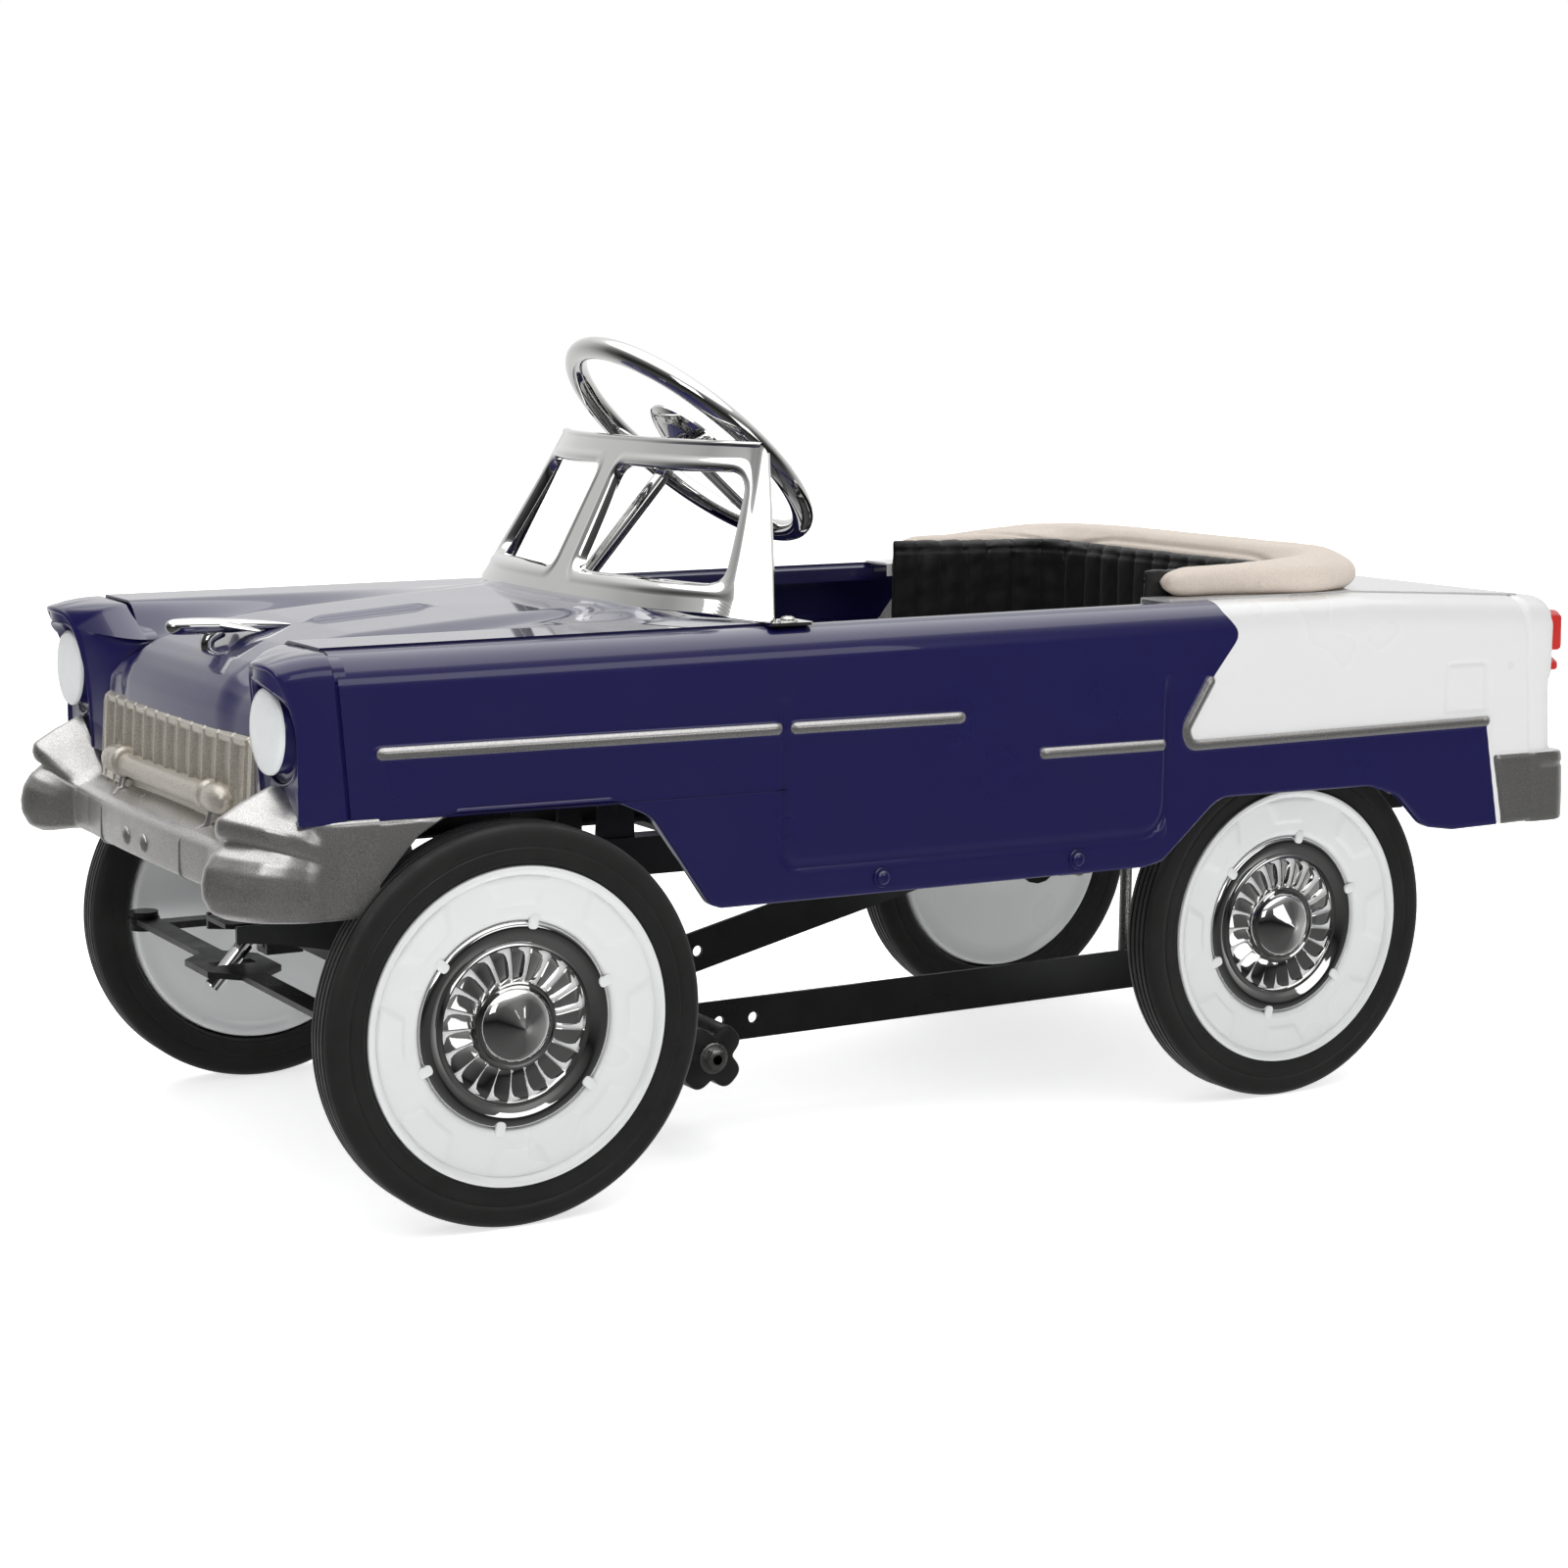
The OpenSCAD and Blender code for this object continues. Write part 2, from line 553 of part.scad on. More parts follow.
module steering_wheel() color(chrome) on_column() difference() {
  union() {
    rotate_extrude($fn = 96) translate([steering_wheel_d / 2 - rim_d / 2, 0]) circle(d = rim_d, $fn = 24);
    rotate_extrude($fn = 64)
      polygon([[0, -16], [14, -16], [16, -8], [32, 2], [34, 6], [30, 5], [14, -3], [0, -3]]);
    for (a = [0, 90, 180]) rotate([0, 0, a]) for (s = [-1, 1])
      translate([14, s * 6 - 2.5, -7]) cube([steering_wheel_d / 2 - rim_d / 2 - 12, 5, 5]);
  }
  translate([0, 0, -30]) cylinder(h = 60, r = column_d / 2 - 1);
}
module steering_wheel_nut() color(chrome) on_column() translate([0, 0, -3]) difference() {
  union() {
    cylinder(h = 7, r = 9, $fn = 6);
    translate([0, 0, 7]) cylinder(h = 4, r1 = 8, r2 = 4);
  }
  translate([0, 0, -1]) cylinder(h = 8, r = column_d / 2 - 1);
}
// One bent rod: straight column, a level jog and a parallel foot
module steering_column() color(chrome) {
  r = column_d / 2;
  bend = wheel_centre - column_drop * column_dir;
  jog = [0, -column_throw / sin(column_angle), 0];
  foot = bend + jog;
  foot_l = 46;
  on_column() translate([0, 0, -column_drop]) cylinder(h = column_drop - 16, r = r);
  on_column() translate([0, 0, -18]) cylinder(h = 22, r = r - 1);
  translate(bend) sphere(r = r + 0.8);
  translate(bend) rotate([90, 0, 0]) cylinder(h = -jog[1], r = r);
  translate(foot) sphere(r = r + 0.8);
  translate(foot) rotate([column_angle - 90, 0, 0]) translate([0, 0, -foot_l]) cylinder(h = foot_l, r = r);
}
module tie_rod() color(black) difference() {
  translate([0, tie_y, tie_z]) linear_extrude(tie_t) union() {
    translate([-kingpin_x, -8]) square([2 * kingpin_x, 16]);
    for (s = [-1, 1]) translate([s * kingpin_x, 0]) circle(r = 11);
    polygon([[-40, -8], [-22, -25], [22, -25], [40, -8], [40, 8], [22, 26], [-22, 26], [-40, 8]]);
  }
  translate([-column_d / 2 - 0.8, tie_y - 15, tie_z - 1]) cube([column_d + 1.6, 30, tie_t + 2]);
  for (s = [-1, 1]) translate([s * kingpin_x, tie_y, tie_z - 1]) cylinder(h = tie_t + 2, r = 6);
}
module knuckle() difference() {
  union() {
    translate([kingpin_x, front_axle_y, axle_z - knuckle_h / 2]) cylinder(h = knuckle_h, r = knuckle_r);
    rod_x(kingpin_x, front_track_half + 8, [front_axle_y, axle_z], spindle_r);
    rod_x(kingpin_x, front_track_half - 15, [front_axle_y, axle_z], spindle_r + 3);
    translate([kingpin_x - 8, tie_y, tie_z - gap - 5]) cube([16, -arm_y - 6, 5]);
    translate([kingpin_x, tie_y, tie_z - gap - 5]) cylinder(h = 5, r = 9);
    translate([kingpin_x, tie_y, tie_z - gap]) cylinder(h = tie_t + 2 * gap, r = 4);
    translate([kingpin_x, tie_y, tie_z + tie_t + gap]) cylinder(h = 4, r = 10);
  }
  translate([kingpin_x, front_axle_y, 0]) cylinder(h = 300, r = kingpin_r + fit);
}
module left_knuckle() color(black) knuckle();
module right_knuckle() color(black) mirror([1, 0, 0]) knuckle();
module spindle_nut() {
  x0 = front_track_half + 8;
  rod_x(x0, x0 + 3, [front_axle_y, axle_z], 8);
}
module left_spindle_nut() color(chrome) spindle_nut();
module right_spindle_nut() color(chrome) mirror([1, 0, 0]) spindle_nut();

// ---- wheels ----

module front_left_tyre() color(rubber) wheel_at(1, front_axle_y, front_track_half) tyre();
module front_left_wheel() color(white) wheel_at(1, front_axle_y, front_track_half) wheel_disc(-14, 7);
module front_left_cap() color(chrome) wheel_at(1, front_axle_y, front_track_half) wheel_cap();
module front_right_tyre() color(rubber) wheel_at(-1, front_axle_y, front_track_half) tyre();
module front_right_wheel() color(white) wheel_at(-1, front_axle_y, front_track_half) wheel_disc(-14, 7);
module front_right_cap() color(chrome) wheel_at(-1, front_axle_y, front_track_half) wheel_cap();
module rear_left_tyre() color(rubber) wheel_at(1, rear_axle_y, rear_track_half) tyre();
module rear_left_wheel() color(white) wheel_at(1, rear_axle_y, rear_track_half) wheel_disc(-hub_l, 7);
module rear_left_cap() color(chrome) wheel_at(1, rear_axle_y, rear_track_half) wheel_cap();
module rear_right_tyre() color(rubber) wheel_at(-1, rear_axle_y, rear_track_half) tyre();
module rear_right_wheel() color(white) wheel_at(-1, rear_axle_y, rear_track_half) wheel_disc(-hub_l, 7);
module rear_right_cap() color(chrome) wheel_at(-1, rear_axle_y, rear_track_half) wheel_cap();

// ---- drive ----

web_x = 62;
module crank_axle() color(chrome) {
  low = [rear_axle_y, axle_z - crank_throw];
  centre = [rear_axle_y, axle_z];
  for (s = [-1, 1]) {
    journal_in = s > 0 ? web_x : -rear_track_half - 8;
    rod_x(journal_in, journal_in + rear_track_half + 8 - web_x, centre, axle_r);
    hub_in = s > 0 ? rear_track_half - hub_l : -rear_track_half - 8;
    rod_x(hub_in, hub_in + hub_l + 8, centre, spindle_r);
    translate([s * web_x, rear_axle_y, axle_z]) sphere(r = axle_r);
    translate([s * web_x, rear_axle_y, axle_z - s * crank_throw]) sphere(r = axle_r);
    translate([0, rear_axle_y, axle_z - s * crank_throw]) sphere(r = axle_r);
    translate([s * web_x, rear_axle_y, s > 0 ? low[1] : axle_z]) cylinder(h = crank_throw, r = axle_r);
  }
  translate([0, rear_axle_y, axle_z - crank_throw]) cylinder(h = 2 * crank_throw, r = axle_r);
}
module rear_axle_nuts() color(chrome) both_sides() {
  x0 = rear_track_half + 8;
  rod_x(x0, x0 + 3, [rear_axle_y, axle_z], 8);
}

// The left crank pin rests down and the right one up; rear is the strap's rear eye as (y, z)
function strap_rear(side) = [rear_axle_y, axle_z - side * crank_throw];
function on_strap(side, y) = let (k = (y - strap_front[0]) / (rear_axle_y - strap_front[0]))
  [y, strap_front[1] + k * (strap_rear(side)[1] - strap_front[1])];
module strap(side) {
  run = strap_rear(side) - strap_front;
  slope = atan2(run[1], run[0]);
  h = strap_h / 2;
  difference() {
    along_x(strap_x, strap_x + strap_t) translate(strap_front) rotate(slope)
      polygon(concat(arc([0, 0], h, 90, 270), arc([norm(run), 0], h, -90, 90)));
    rod_x(strap_x - 1, strap_x + strap_t + 1, strap_front, 4 + fit);
    rod_x(strap_x - 1, strap_x + strap_t + 1, strap_rear(side), bearing_r);
    for (y = [pedal_y, pedal_y + 28, pedal_y + 56, pedal_y + 84])
      rod_x(strap_x - 1, strap_x + strap_t + 1, on_strap(side, y), 4);
  }
}
module crank_bearing(side) {
  clear = axle_r + gap;
  rod_x(clear, web_x - clear, strap_rear(side), axle_r);
  rod_x(strap_x - 6, strap_x + strap_t + 6, strap_rear(side), bearing_r);
}
module pedal_hanger() {
  t = 4;
  x0 = strap_x - gap - t;
  difference() {
    union() {
      along_x(x0, x0 + t) polygon([[strap_front[0] - 9, strap_front[1]], [hanger_top[0] - 9, hanger_top[1]],
                                   [hanger_top[0] + 9, hanger_top[1]], [strap_front[0] + 9, strap_front[1]]]);
      rod_x(x0, x0 + t, strap_front, 9);
      rod_x(x0 - 6, x0 + t + 6, hanger_top, 9);
      rod_x(x0, strap_x + strap_t + gap, strap_front, 4);
      rod_x(strap_x + strap_t + gap, strap_x + strap_t + gap + 4, strap_front, 8);
    }
    rod_x(x0 - 10, x0 + t + 10, hanger_top, 5 + fit);
  }
}
// Four-lobed rubber block on its bolt
pedal_bolt_r = 4;
lobe_r = 8;
module pedal(side) {
  x0 = strap_x + strap_t + 3;
  difference() {
    along_x(x0, x0 + pedal_l) translate(on_strap(side, pedal_y))
      union() {
        square(pedal_w - 11, center = true);
        for (sy = [-1, 1], sz = [-1, 1]) translate([sy, sz] * (pedal_w / 2 - lobe_r)) circle(r = lobe_r);
      }
    rod_x(x0 - 1, x0 + pedal_l + 1, on_strap(side, pedal_y), pedal_bolt_r + fit);
  }
}
module pedal_bolt(side) {
  x1 = strap_x + strap_t + 3 + pedal_l + gap;
  at = on_strap(side, pedal_y);
  rod_x(strap_x - 5, x1 + 2, at, pedal_bolt_r);
  rod_x(x1, x1 + 1.6, at, 9);
  translate([x1 + 1.6, at[0], at[1]]) rotate([0, 90, 0]) cylinder(h = 5, r = 7.5, $fn = 6);
  rod_x(strap_x + strap_t, strap_x + strap_t + 3 - gap, at, 8);
  translate([strap_x - 5, at[0], at[1]]) rotate([0, 90, 0]) cylinder(h = 5, r = 7.5, $fn = 6);
}
module left_strap() color(black) strap(1);
module right_strap() color(black) mirror([1, 0, 0]) strap(-1);
module left_crank_bearing() color(rubber) crank_bearing(1);
module right_crank_bearing() color(rubber) mirror([1, 0, 0]) crank_bearing(-1);
module left_pedal_hanger() color(black) pedal_hanger();
module right_pedal_hanger() color(black) mirror([1, 0, 0]) pedal_hanger();
module left_pedal() color(rubber) pedal(1);
module right_pedal() color(rubber) mirror([1, 0, 0]) pedal(-1);
module left_pedal_bolt() color(chrome) pedal_bolt(1);
module right_pedal_bolt() color(chrome) mirror([1, 0, 0]) pedal_bolt(-1);

hood_panel();
left_body_side();
right_body_side();
rear_deck();
front_clip();
rear_clip();
grille();
headlamps();
tail_lenses();
hood_ornament();
windscreen_frame();
windscreen_screws();
body_bolts();
seat_pan();
seat_cushion();
cockpit_lining();
boot_cover();
left_rail();
right_rail();
cross_members();
front_axle_beam();
front_struts();
column_foot();
column_bracket();
axle_hangers();
axle_bushes();
hanger_rod();
kingpins();
steering_wheel();
steering_column();
steering_wheel_nut();
tie_rod();
left_knuckle();
right_knuckle();
left_spindle_nut();
right_spindle_nut();
front_left_tyre();
front_left_wheel();
front_left_cap();
front_right_tyre();
front_right_wheel();
front_right_cap();
crank_axle();
rear_axle_nuts();
rear_left_tyre();
rear_left_wheel();
rear_left_cap();
rear_right_tyre();
rear_right_wheel();
rear_right_cap();
left_strap();
right_strap();
left_crank_bearing();
right_crank_bearing();
left_pedal_hanger();
right_pedal_hanger();
left_pedal();
right_pedal();
left_pedal_bolt();
right_pedal_bolt();
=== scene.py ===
"""Looks of the steel pedal car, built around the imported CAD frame.

Lengths in this script are millimetres until a piece is made. The nose is towards -Y, the driver's
left is +X and the ground is z = 0, as in the frame.
"""
import json
import math

import bmesh
import bpy
import numpy as np
from mathutils import Euler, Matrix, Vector


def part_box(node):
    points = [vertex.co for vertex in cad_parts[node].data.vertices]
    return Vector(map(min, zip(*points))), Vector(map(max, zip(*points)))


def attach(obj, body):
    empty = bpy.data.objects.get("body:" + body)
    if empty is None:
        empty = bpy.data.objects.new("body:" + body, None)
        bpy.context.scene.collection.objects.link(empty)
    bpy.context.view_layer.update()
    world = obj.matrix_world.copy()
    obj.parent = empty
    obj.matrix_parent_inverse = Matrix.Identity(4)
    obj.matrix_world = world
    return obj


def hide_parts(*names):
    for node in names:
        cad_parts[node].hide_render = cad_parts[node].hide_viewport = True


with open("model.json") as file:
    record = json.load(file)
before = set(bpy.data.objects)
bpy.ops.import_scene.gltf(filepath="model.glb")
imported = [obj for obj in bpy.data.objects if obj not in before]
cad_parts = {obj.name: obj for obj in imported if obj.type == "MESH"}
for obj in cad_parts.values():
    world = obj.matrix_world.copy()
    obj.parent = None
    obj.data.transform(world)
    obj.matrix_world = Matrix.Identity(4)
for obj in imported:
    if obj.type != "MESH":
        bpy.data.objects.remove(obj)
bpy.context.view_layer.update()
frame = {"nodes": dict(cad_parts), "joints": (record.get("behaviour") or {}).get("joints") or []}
SCENE = bpy.context.scene
MM = 0.001

# ---- places taken from the frame ----


def node_box(node):
    """(lowest, highest) corner of a CAD node, in millimetres."""
    lo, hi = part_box(node)
    return np.array(lo) / MM, np.array(hi) / MM


def joint(name):
    """(a point on a joint's axis in millimetres, the axis) of one of the frame's joints."""
    j = next(j for j in frame["joints"] if j["name"] == name)
    return np.array(j["pos_m"]) / MM, np.array(j["axis"])


SIDE_LO, SIDE_HI = node_box("left_body_side")
HALF_W = SIDE_HI[0]
FRONT_SEAM = SIDE_LO[1]
REAR_SEAM = SIDE_HI[1]
AXLE_Z = joint("crank_spin")[0][2]
FRONT_AXLE = joint("left_stub_turn")[0][1]
REAR_AXLE = joint("crank_spin")[0][1]
FRONT_TRACK = joint("front_left_roll")[0][0]
REAR_TRACK = -joint("rear_right_roll")[0][0]
WHEEL_HUB = joint("steering_turn")[0]

SHOULDER = 22.0
COCKPIT_X = HALF_W - SHOULDER
SHEET = 1.6
BELT_Z = 366.4
BELT_RISE = math.tan(math.radians(0.68))
DECK_BREAK = 330.0
DECK_FALL = math.tan(math.radians(2.6))


def belt(y):
    """Height of the belt line: it rises to the deck and falls towards the tail."""
    y = np.asarray(y, float)
    rise = BELT_Z + BELT_RISE * np.minimum(y, DECK_BREAK)
    return rise - DECK_FALL * np.maximum(y - DECK_BREAK, 0)


# ---- small mathematics ----


def smooth(a, b, x):
    """0 below a, 1 above b and an S curve between."""
    t = np.clip((np.asarray(x, float) - a) / (b - a), 0, 1)
    return t * t * (3 - 2 * t)


def hump(d, half):
    """A rounded ridge: 1 on its line and 0 from a distance of half, with soft feet."""
    t = np.clip(np.abs(d) / half, 0, 1)
    return (1 - t * t) ** 2


def polyline_distance(y, z, points):
    """Distance of every (y, z) from a line through points."""
    best = np.full(np.shape(y), 1e9)
    for (ay, az), (by, bz) in zip(points[:-1], points[1:]):
        dy, dz = by - ay, bz - az
        t = np.clip(((y - ay) * dy + (z - az) * dz) / (dy * dy + dz * dz), 0, 1)
        best = np.minimum(best, np.hypot(y - ay - t * dy, z - az - t * dz))
    return best


def rounded(corners, radius, steps=6, closed=True):
    """A polyline with its corners rounded. radius is one number, or one for each corner."""
    pts = [np.array(p, float) for p in corners]
    n = len(pts)
    radii = radius if hasattr(radius, "__len__") else [radius] * n
    out = []
    for i, p in enumerate(pts):
        if not closed and i in (0, n - 1):
            out.append(p)
            continue
        a, b = pts[i - 1] - p, pts[(i + 1) % n] - p
        la, lb = np.linalg.norm(a), np.linalg.norm(b)
        a, b = a / la, b / lb
        half = math.acos(float(np.clip(a @ b, -1, 1))) / 2
        if radii[i] <= 0 or half > math.pi / 2 - 0.01:
            out.append(p)
            continue
        cut = min(radii[i] / math.tan(half), 0.49 * la, 0.49 * lb)
        start, end = p + a * cut, p + b * cut
        for k in range(steps + 1):
            t = k / steps
            out.append((1 - t) ** 2 * start + 2 * t * (1 - t) * p + t * t * end)
    return np.array(out)


def resample(points, count, closed=False):
    """count points spaced evenly along a polyline."""
    pts = np.array(points, float)
    if closed:
        pts = np.vstack([pts, pts[:1]])
    s = np.concatenate([[0], np.cumsum(np.linalg.norm(np.diff(pts, axis=0), axis=1))])
    at = np.linspace(0, s[-1], count + 1)[:-1] if closed else np.linspace(0, s[-1], count)
    return np.stack([np.interp(at, s, pts[:, i]) for i in range(pts.shape[1])], axis=1)


def circle(radius, count, phase=0.0):
    a = phase + np.arange(count) * 2 * math.pi / count
    return np.stack([radius * np.cos(a), radius * np.sin(a)], axis=1)


# ---- solids as (points, faces) ----


def grid_faces(rows, cols, wrap_rows=False, wrap_cols=False, keep=None):
    faces = []
    for i in range(rows if wrap_rows else rows - 1):
        for j in range(cols if wrap_cols else cols - 1):
            if keep is None or keep[i][j]:
                i1, j1 = (i + 1) % rows, (j + 1) % cols
                faces.append((i * cols + j, i * cols + j1, i1 * cols + j1, i1 * cols + j))
    return faces


def sweep(rings, caps=True, closed=False):
    """A skin over rings of points, all with the same count."""
    rings = np.array(rings, float)
    rows, cols = rings.shape[:2]
    faces = grid_faces(rows, cols, wrap_rows=closed, wrap_cols=True)
    if caps and not closed:
        faces.append(tuple(range(cols))[::-1])
        faces.append(tuple(range((rows - 1) * cols, rows * cols)))
    return rings.reshape(-1, 3), faces


def tube(path, radius, count=16, section=None, closed=False, up=(0.0, 0.0, 1.0)):
    """A round bar, or a bar of any section, along a path. radius may be one number per point."""
    path = np.array(path, float)
    n = len(path)
    radius = np.broadcast_to(np.asarray(radius, float), (n,))
    section = circle(1.0, count) if section is None else np.asarray(section, float)
    if closed:
        tangents = np.roll(path, -1, 0) - np.roll(path, 1, 0)
    else:
        tangents = np.gradient(path, axis=0)
    tangents /= np.linalg.norm(tangents, axis=1)[:, None]
    side = np.cross(tangents[0], up)
    if np.linalg.norm(side) < 1e-3:
        side = np.cross(tangents[0], (1.0, 0.0, 0.0))
    rings = []
    for p, t, r in zip(path, tangents, radius):
        side = side - t * (side @ t)
        side /= np.linalg.norm(side)
        other = np.cross(side, t)
        rings.append(p + r * (section[:, :1] * side + section[:, 1:] * other))
    return sweep(rings, closed=closed)


def lathe(profile, count=96, at=(0.0, 0.0, 0.0), closed=True):
    """Turns (radius, x) points about the X axis through at."""
    profile = np.array(profile, float)
    a = np.arange(count) * 2 * math.pi / count
    r, x = profile[:, 0], profile[:, 1]
    pts = np.stack([np.tile(x, (count, 1)), np.outer(np.cos(a), r), np.outer(np.sin(a), r)], axis=2)
    faces = grid_faces(count, len(profile), wrap_rows=True, wrap_cols=closed)
    return pts.reshape(-1, 3) + np.array(at), faces


def prism(outline, axis, lo, hi):
    """An outline pushed out along an axis, its two numbers being the other two axes in X, Y, Z order."""
    outline = np.array(outline, float)
    other = [i for i in range(3) if i != axis]
    rings = np.zeros((2, len(outline), 3))
    for ring, value in zip(rings, (lo, hi)):
        ring[:, axis] = value
        ring[:, other] = outline
    return sweep(rings)


def block(lo, hi):
    (x0, y0, z0), (x1, y1, z1) = lo, hi
    return prism([(x0, y0), (x1, y0), (x1, y1), (x0, y1)], 2, z0, z1)


def joined(parts):
    points, faces, start = [], [], 0
    for p, f in parts:
        points.append(np.asarray(p, float))
        faces.extend(tuple(i + start for i in face) for face in f)
        start += len(p)
    return np.vstack(points), faces


def moved(part, by=(0.0, 0.0, 0.0), turn=None):
    """A part turned by Euler angles in degrees about the origin, then moved."""
    points = np.asarray(part[0], float)
    if turn is not None:
        matrix = np.array(Euler([math.radians(a) for a in turn]).to_matrix())
        points = points @ matrix.T
    return points + np.array(by, float), part[1]


def mirrored(part):
    """The same part on the other side of the car."""
    return np.asarray(part[0], float) * np.array([-1.0, 1.0, 1.0]), [f[::-1] for f in part[1]]


def sided(part, side):
    return part if side > 0 else mirrored(part)


# ---- pieces ----


def bake_modifiers(obj):
    deps = bpy.context.evaluated_depsgraph_get()
    mesh = bpy.data.meshes.new_from_object(obj.evaluated_get(deps))
    obj.modifiers.clear()
    obj.data = mesh


def tidy_mesh(obj, weld=0.0, outward=True):
    mesh = bmesh.new()
    mesh.from_mesh(obj.data)
    if weld:
        bmesh.ops.remove_doubles(mesh, verts=mesh.verts, dist=weld * MM)
    if outward:
        bmesh.ops.recalc_face_normals(mesh, faces=mesh.faces)
    mesh.to_mesh(obj.data)
    mesh.free()


def shade(obj, angle):
    obj.data.polygons.foreach_set("use_smooth", [True] * len(obj.data.polygons))
    obj.data.set_sharp_from_angle(angle=math.radians(angle))


def piece(name, part, body, material, replaces=(), bevel=0.0, thick=0.0, subdivide=0,
          angle=40.0, weld=0.0, outward=True, attributes=None, segments=2):
    """Makes one piece of the car and lets it ride on a CAD body.

    thick is a sheet's thickness, put on its inner side; bevel rounds sharp edges by that width.
    """
    mesh = bpy.data.meshes.new(name)
    mesh.from_pydata((np.asarray(part[0], float) * MM).tolist(), [], [list(f) for f in part[1]])
    obj = bpy.data.objects.new(name, mesh)
    SCENE.collection.objects.link(obj)
    for key, values in (attributes or {}).items():
        layer = mesh.attributes.new(key, "FLOAT", "POINT")
        layer.data.foreach_set("value", np.asarray(values, np.float32).ravel())
    tidy_mesh(obj, weld, outward)
    if thick:
        solid = obj.modifiers.new("sheet", "SOLIDIFY")
        solid.thickness, solid.offset, solid.use_even_offset = thick * MM, -1.0, False
    if bevel:
        edge = obj.modifiers.new("edges", "BEVEL")
        edge.width, edge.segments, edge.limit_method = bevel * MM, segments, "ANGLE"
        edge.angle_limit, edge.use_clamp_overlap = math.radians(35), True
    if subdivide:
        sub = obj.modifiers.new("smooth", "SUBSURF")
        sub.levels = sub.render_levels = subdivide
    if obj.modifiers:
        bake_modifiers(obj)
    shade(obj, angle)
    obj.data.materials.clear()
    obj.data.materials.append(material)
    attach(obj, body)
    if replaces:
        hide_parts(*([replaces] if isinstance(replaces, str) else replaces))
    return obj


# ---- materials ----


class Look:
    """A material on one Principled shader, with short ways to add nodes to it."""

    def __init__(self, name, sockets):
        self.material = bpy.data.materials.new(name)
        self.material.use_nodes = True
        self.tree = self.material.node_tree
        self.surface = self.tree.nodes["Principled BSDF"]
        for socket, value in sockets.items():
            self.surface.inputs[socket].default_value = value
        self.place = self.tree.nodes.new("ShaderNodeTexCoord").outputs["Object"]

    def node(self, kind, inputs, **settings):
        made = self.tree.nodes.new(kind)
        for key, value in settings.items():
            setattr(made, key, value)
        for key, value in inputs.items():
            if isinstance(value, bpy.types.NodeSocket):
                self.tree.links.new(value, made.inputs[key])
            else:
                made.inputs[key].default_value = value
        return made

    def noise(self, size, detail=3.0, stretch=(1.0, 1.0, 1.0)):
        """Noise with features of about size millimetres; stretch makes them longer along an axis."""
        scale = [1000.0 / (size * s) for s in stretch]
        mapped = self.node("ShaderNodeMapping", {"Vector": self.place, "Scale": scale})
        return self.node("ShaderNodeTexNoise", {"Vector": mapped.outputs[0], "Scale": 1.0,
                                                "Detail": detail}).outputs["Fac"]

    def cells(self, size):
        """Rounded cells of about size millimetres, such as leather grain."""
        return self.node("ShaderNodeTexVoronoi", {"Vector": self.place, "Scale": 1000.0 / size},
                         feature="SMOOTH_F1").outputs["Distance"]

    def attribute(self, name):
        return self.node("ShaderNodeAttribute", {}, attribute_name=name).outputs["Fac"]

    def remap(self, value, lo, hi, to_lo=0.0, to_hi=1.0):
        made = self.node("ShaderNodeMapRange", {"Value": value, "From Min": lo, "From Max": hi,
                                                "To Min": to_lo, "To Max": to_hi})
        return made.outputs[0]

    def mix(self, factor, a, b):
        made = self.node("ShaderNodeMix", {0: factor}, data_type="RGBA")
        for index, value in ((6, a), (7, b)):
            if isinstance(value, bpy.types.NodeSocket):
                self.tree.links.new(value, made.inputs[index])
            else:
                made.inputs[index].default_value = (*value, 1.0)
        return made.outputs[2]

    def mix_value(self, factor, a, b):
        made = self.node("ShaderNodeMix", {0: factor, 2: a, 3: b}, data_type="FLOAT")
        return made.outputs[0]

    def bump(self, *layers):
        """Each layer is (height, depth in millimetres)."""
        normal = None
        for height, depth in layers:
            inputs = {"Height": height, "Strength": 1.0, "Distance": depth * MM}
            if normal is not None:
                inputs["Normal"] = normal
            normal = self.node("ShaderNodeBump", inputs).outputs["Normal"]
        self.tree.links.new(normal, self.surface.inputs["Normal"])
        return self

    def to(self, socket, value):
        self.tree.links.new(value, self.surface.inputs[socket])
        return self


def tinted(colour, factor):
    return tuple(c * factor for c in colour)


NAVY = (0.0095, 0.0078, 0.074)
WHITE = (0.78, 0.78, 0.78)
SILVER = (0.56, 0.55, 0.54)


def enamel(name, colour, peel=0.006):
    """Gloss enamel: faint mottling in the colour, orange peel in the clear coat."""
    look = Look(name, {"Roughness": 0.32, "Coat Weight": 1.0, "Coat Roughness": 0.03, "Coat IOR": 1.5})
    look.to("Base Color", look.mix(look.noise(35.0), tinted(colour, 0.97), tinted(colour, 1.02)))
    look.to("Roughness", look.remap(look.noise(60.0, 1.0), 0.3, 0.7, 0.27, 0.31))
    return look.bump((look.noise(3.5, 2.0), peel)).material


def flake_paint(name, colour, metallic=0.88, rough=(0.26, 0.36)):
    """Metallic paint: fine bright and dark flakes under a thin lacquer."""
    look = Look(name, {"Metallic": metallic, "Coat Weight": 0.35, "Coat Roughness": 0.15})
    flakes = look.remap(look.noise(0.8, 1.0), 0.35, 0.65)
    look.to("Base Color", look.mix(flakes, tinted(colour, 0.80), tinted(colour, 1.16)))
    look.to("Roughness", look.remap(look.noise(14.0, 4.0), 0.3, 0.7, *rough))
    return look.bump((look.noise(0.9, 1.0), 0.004), (look.noise(5.0), 0.015)).material


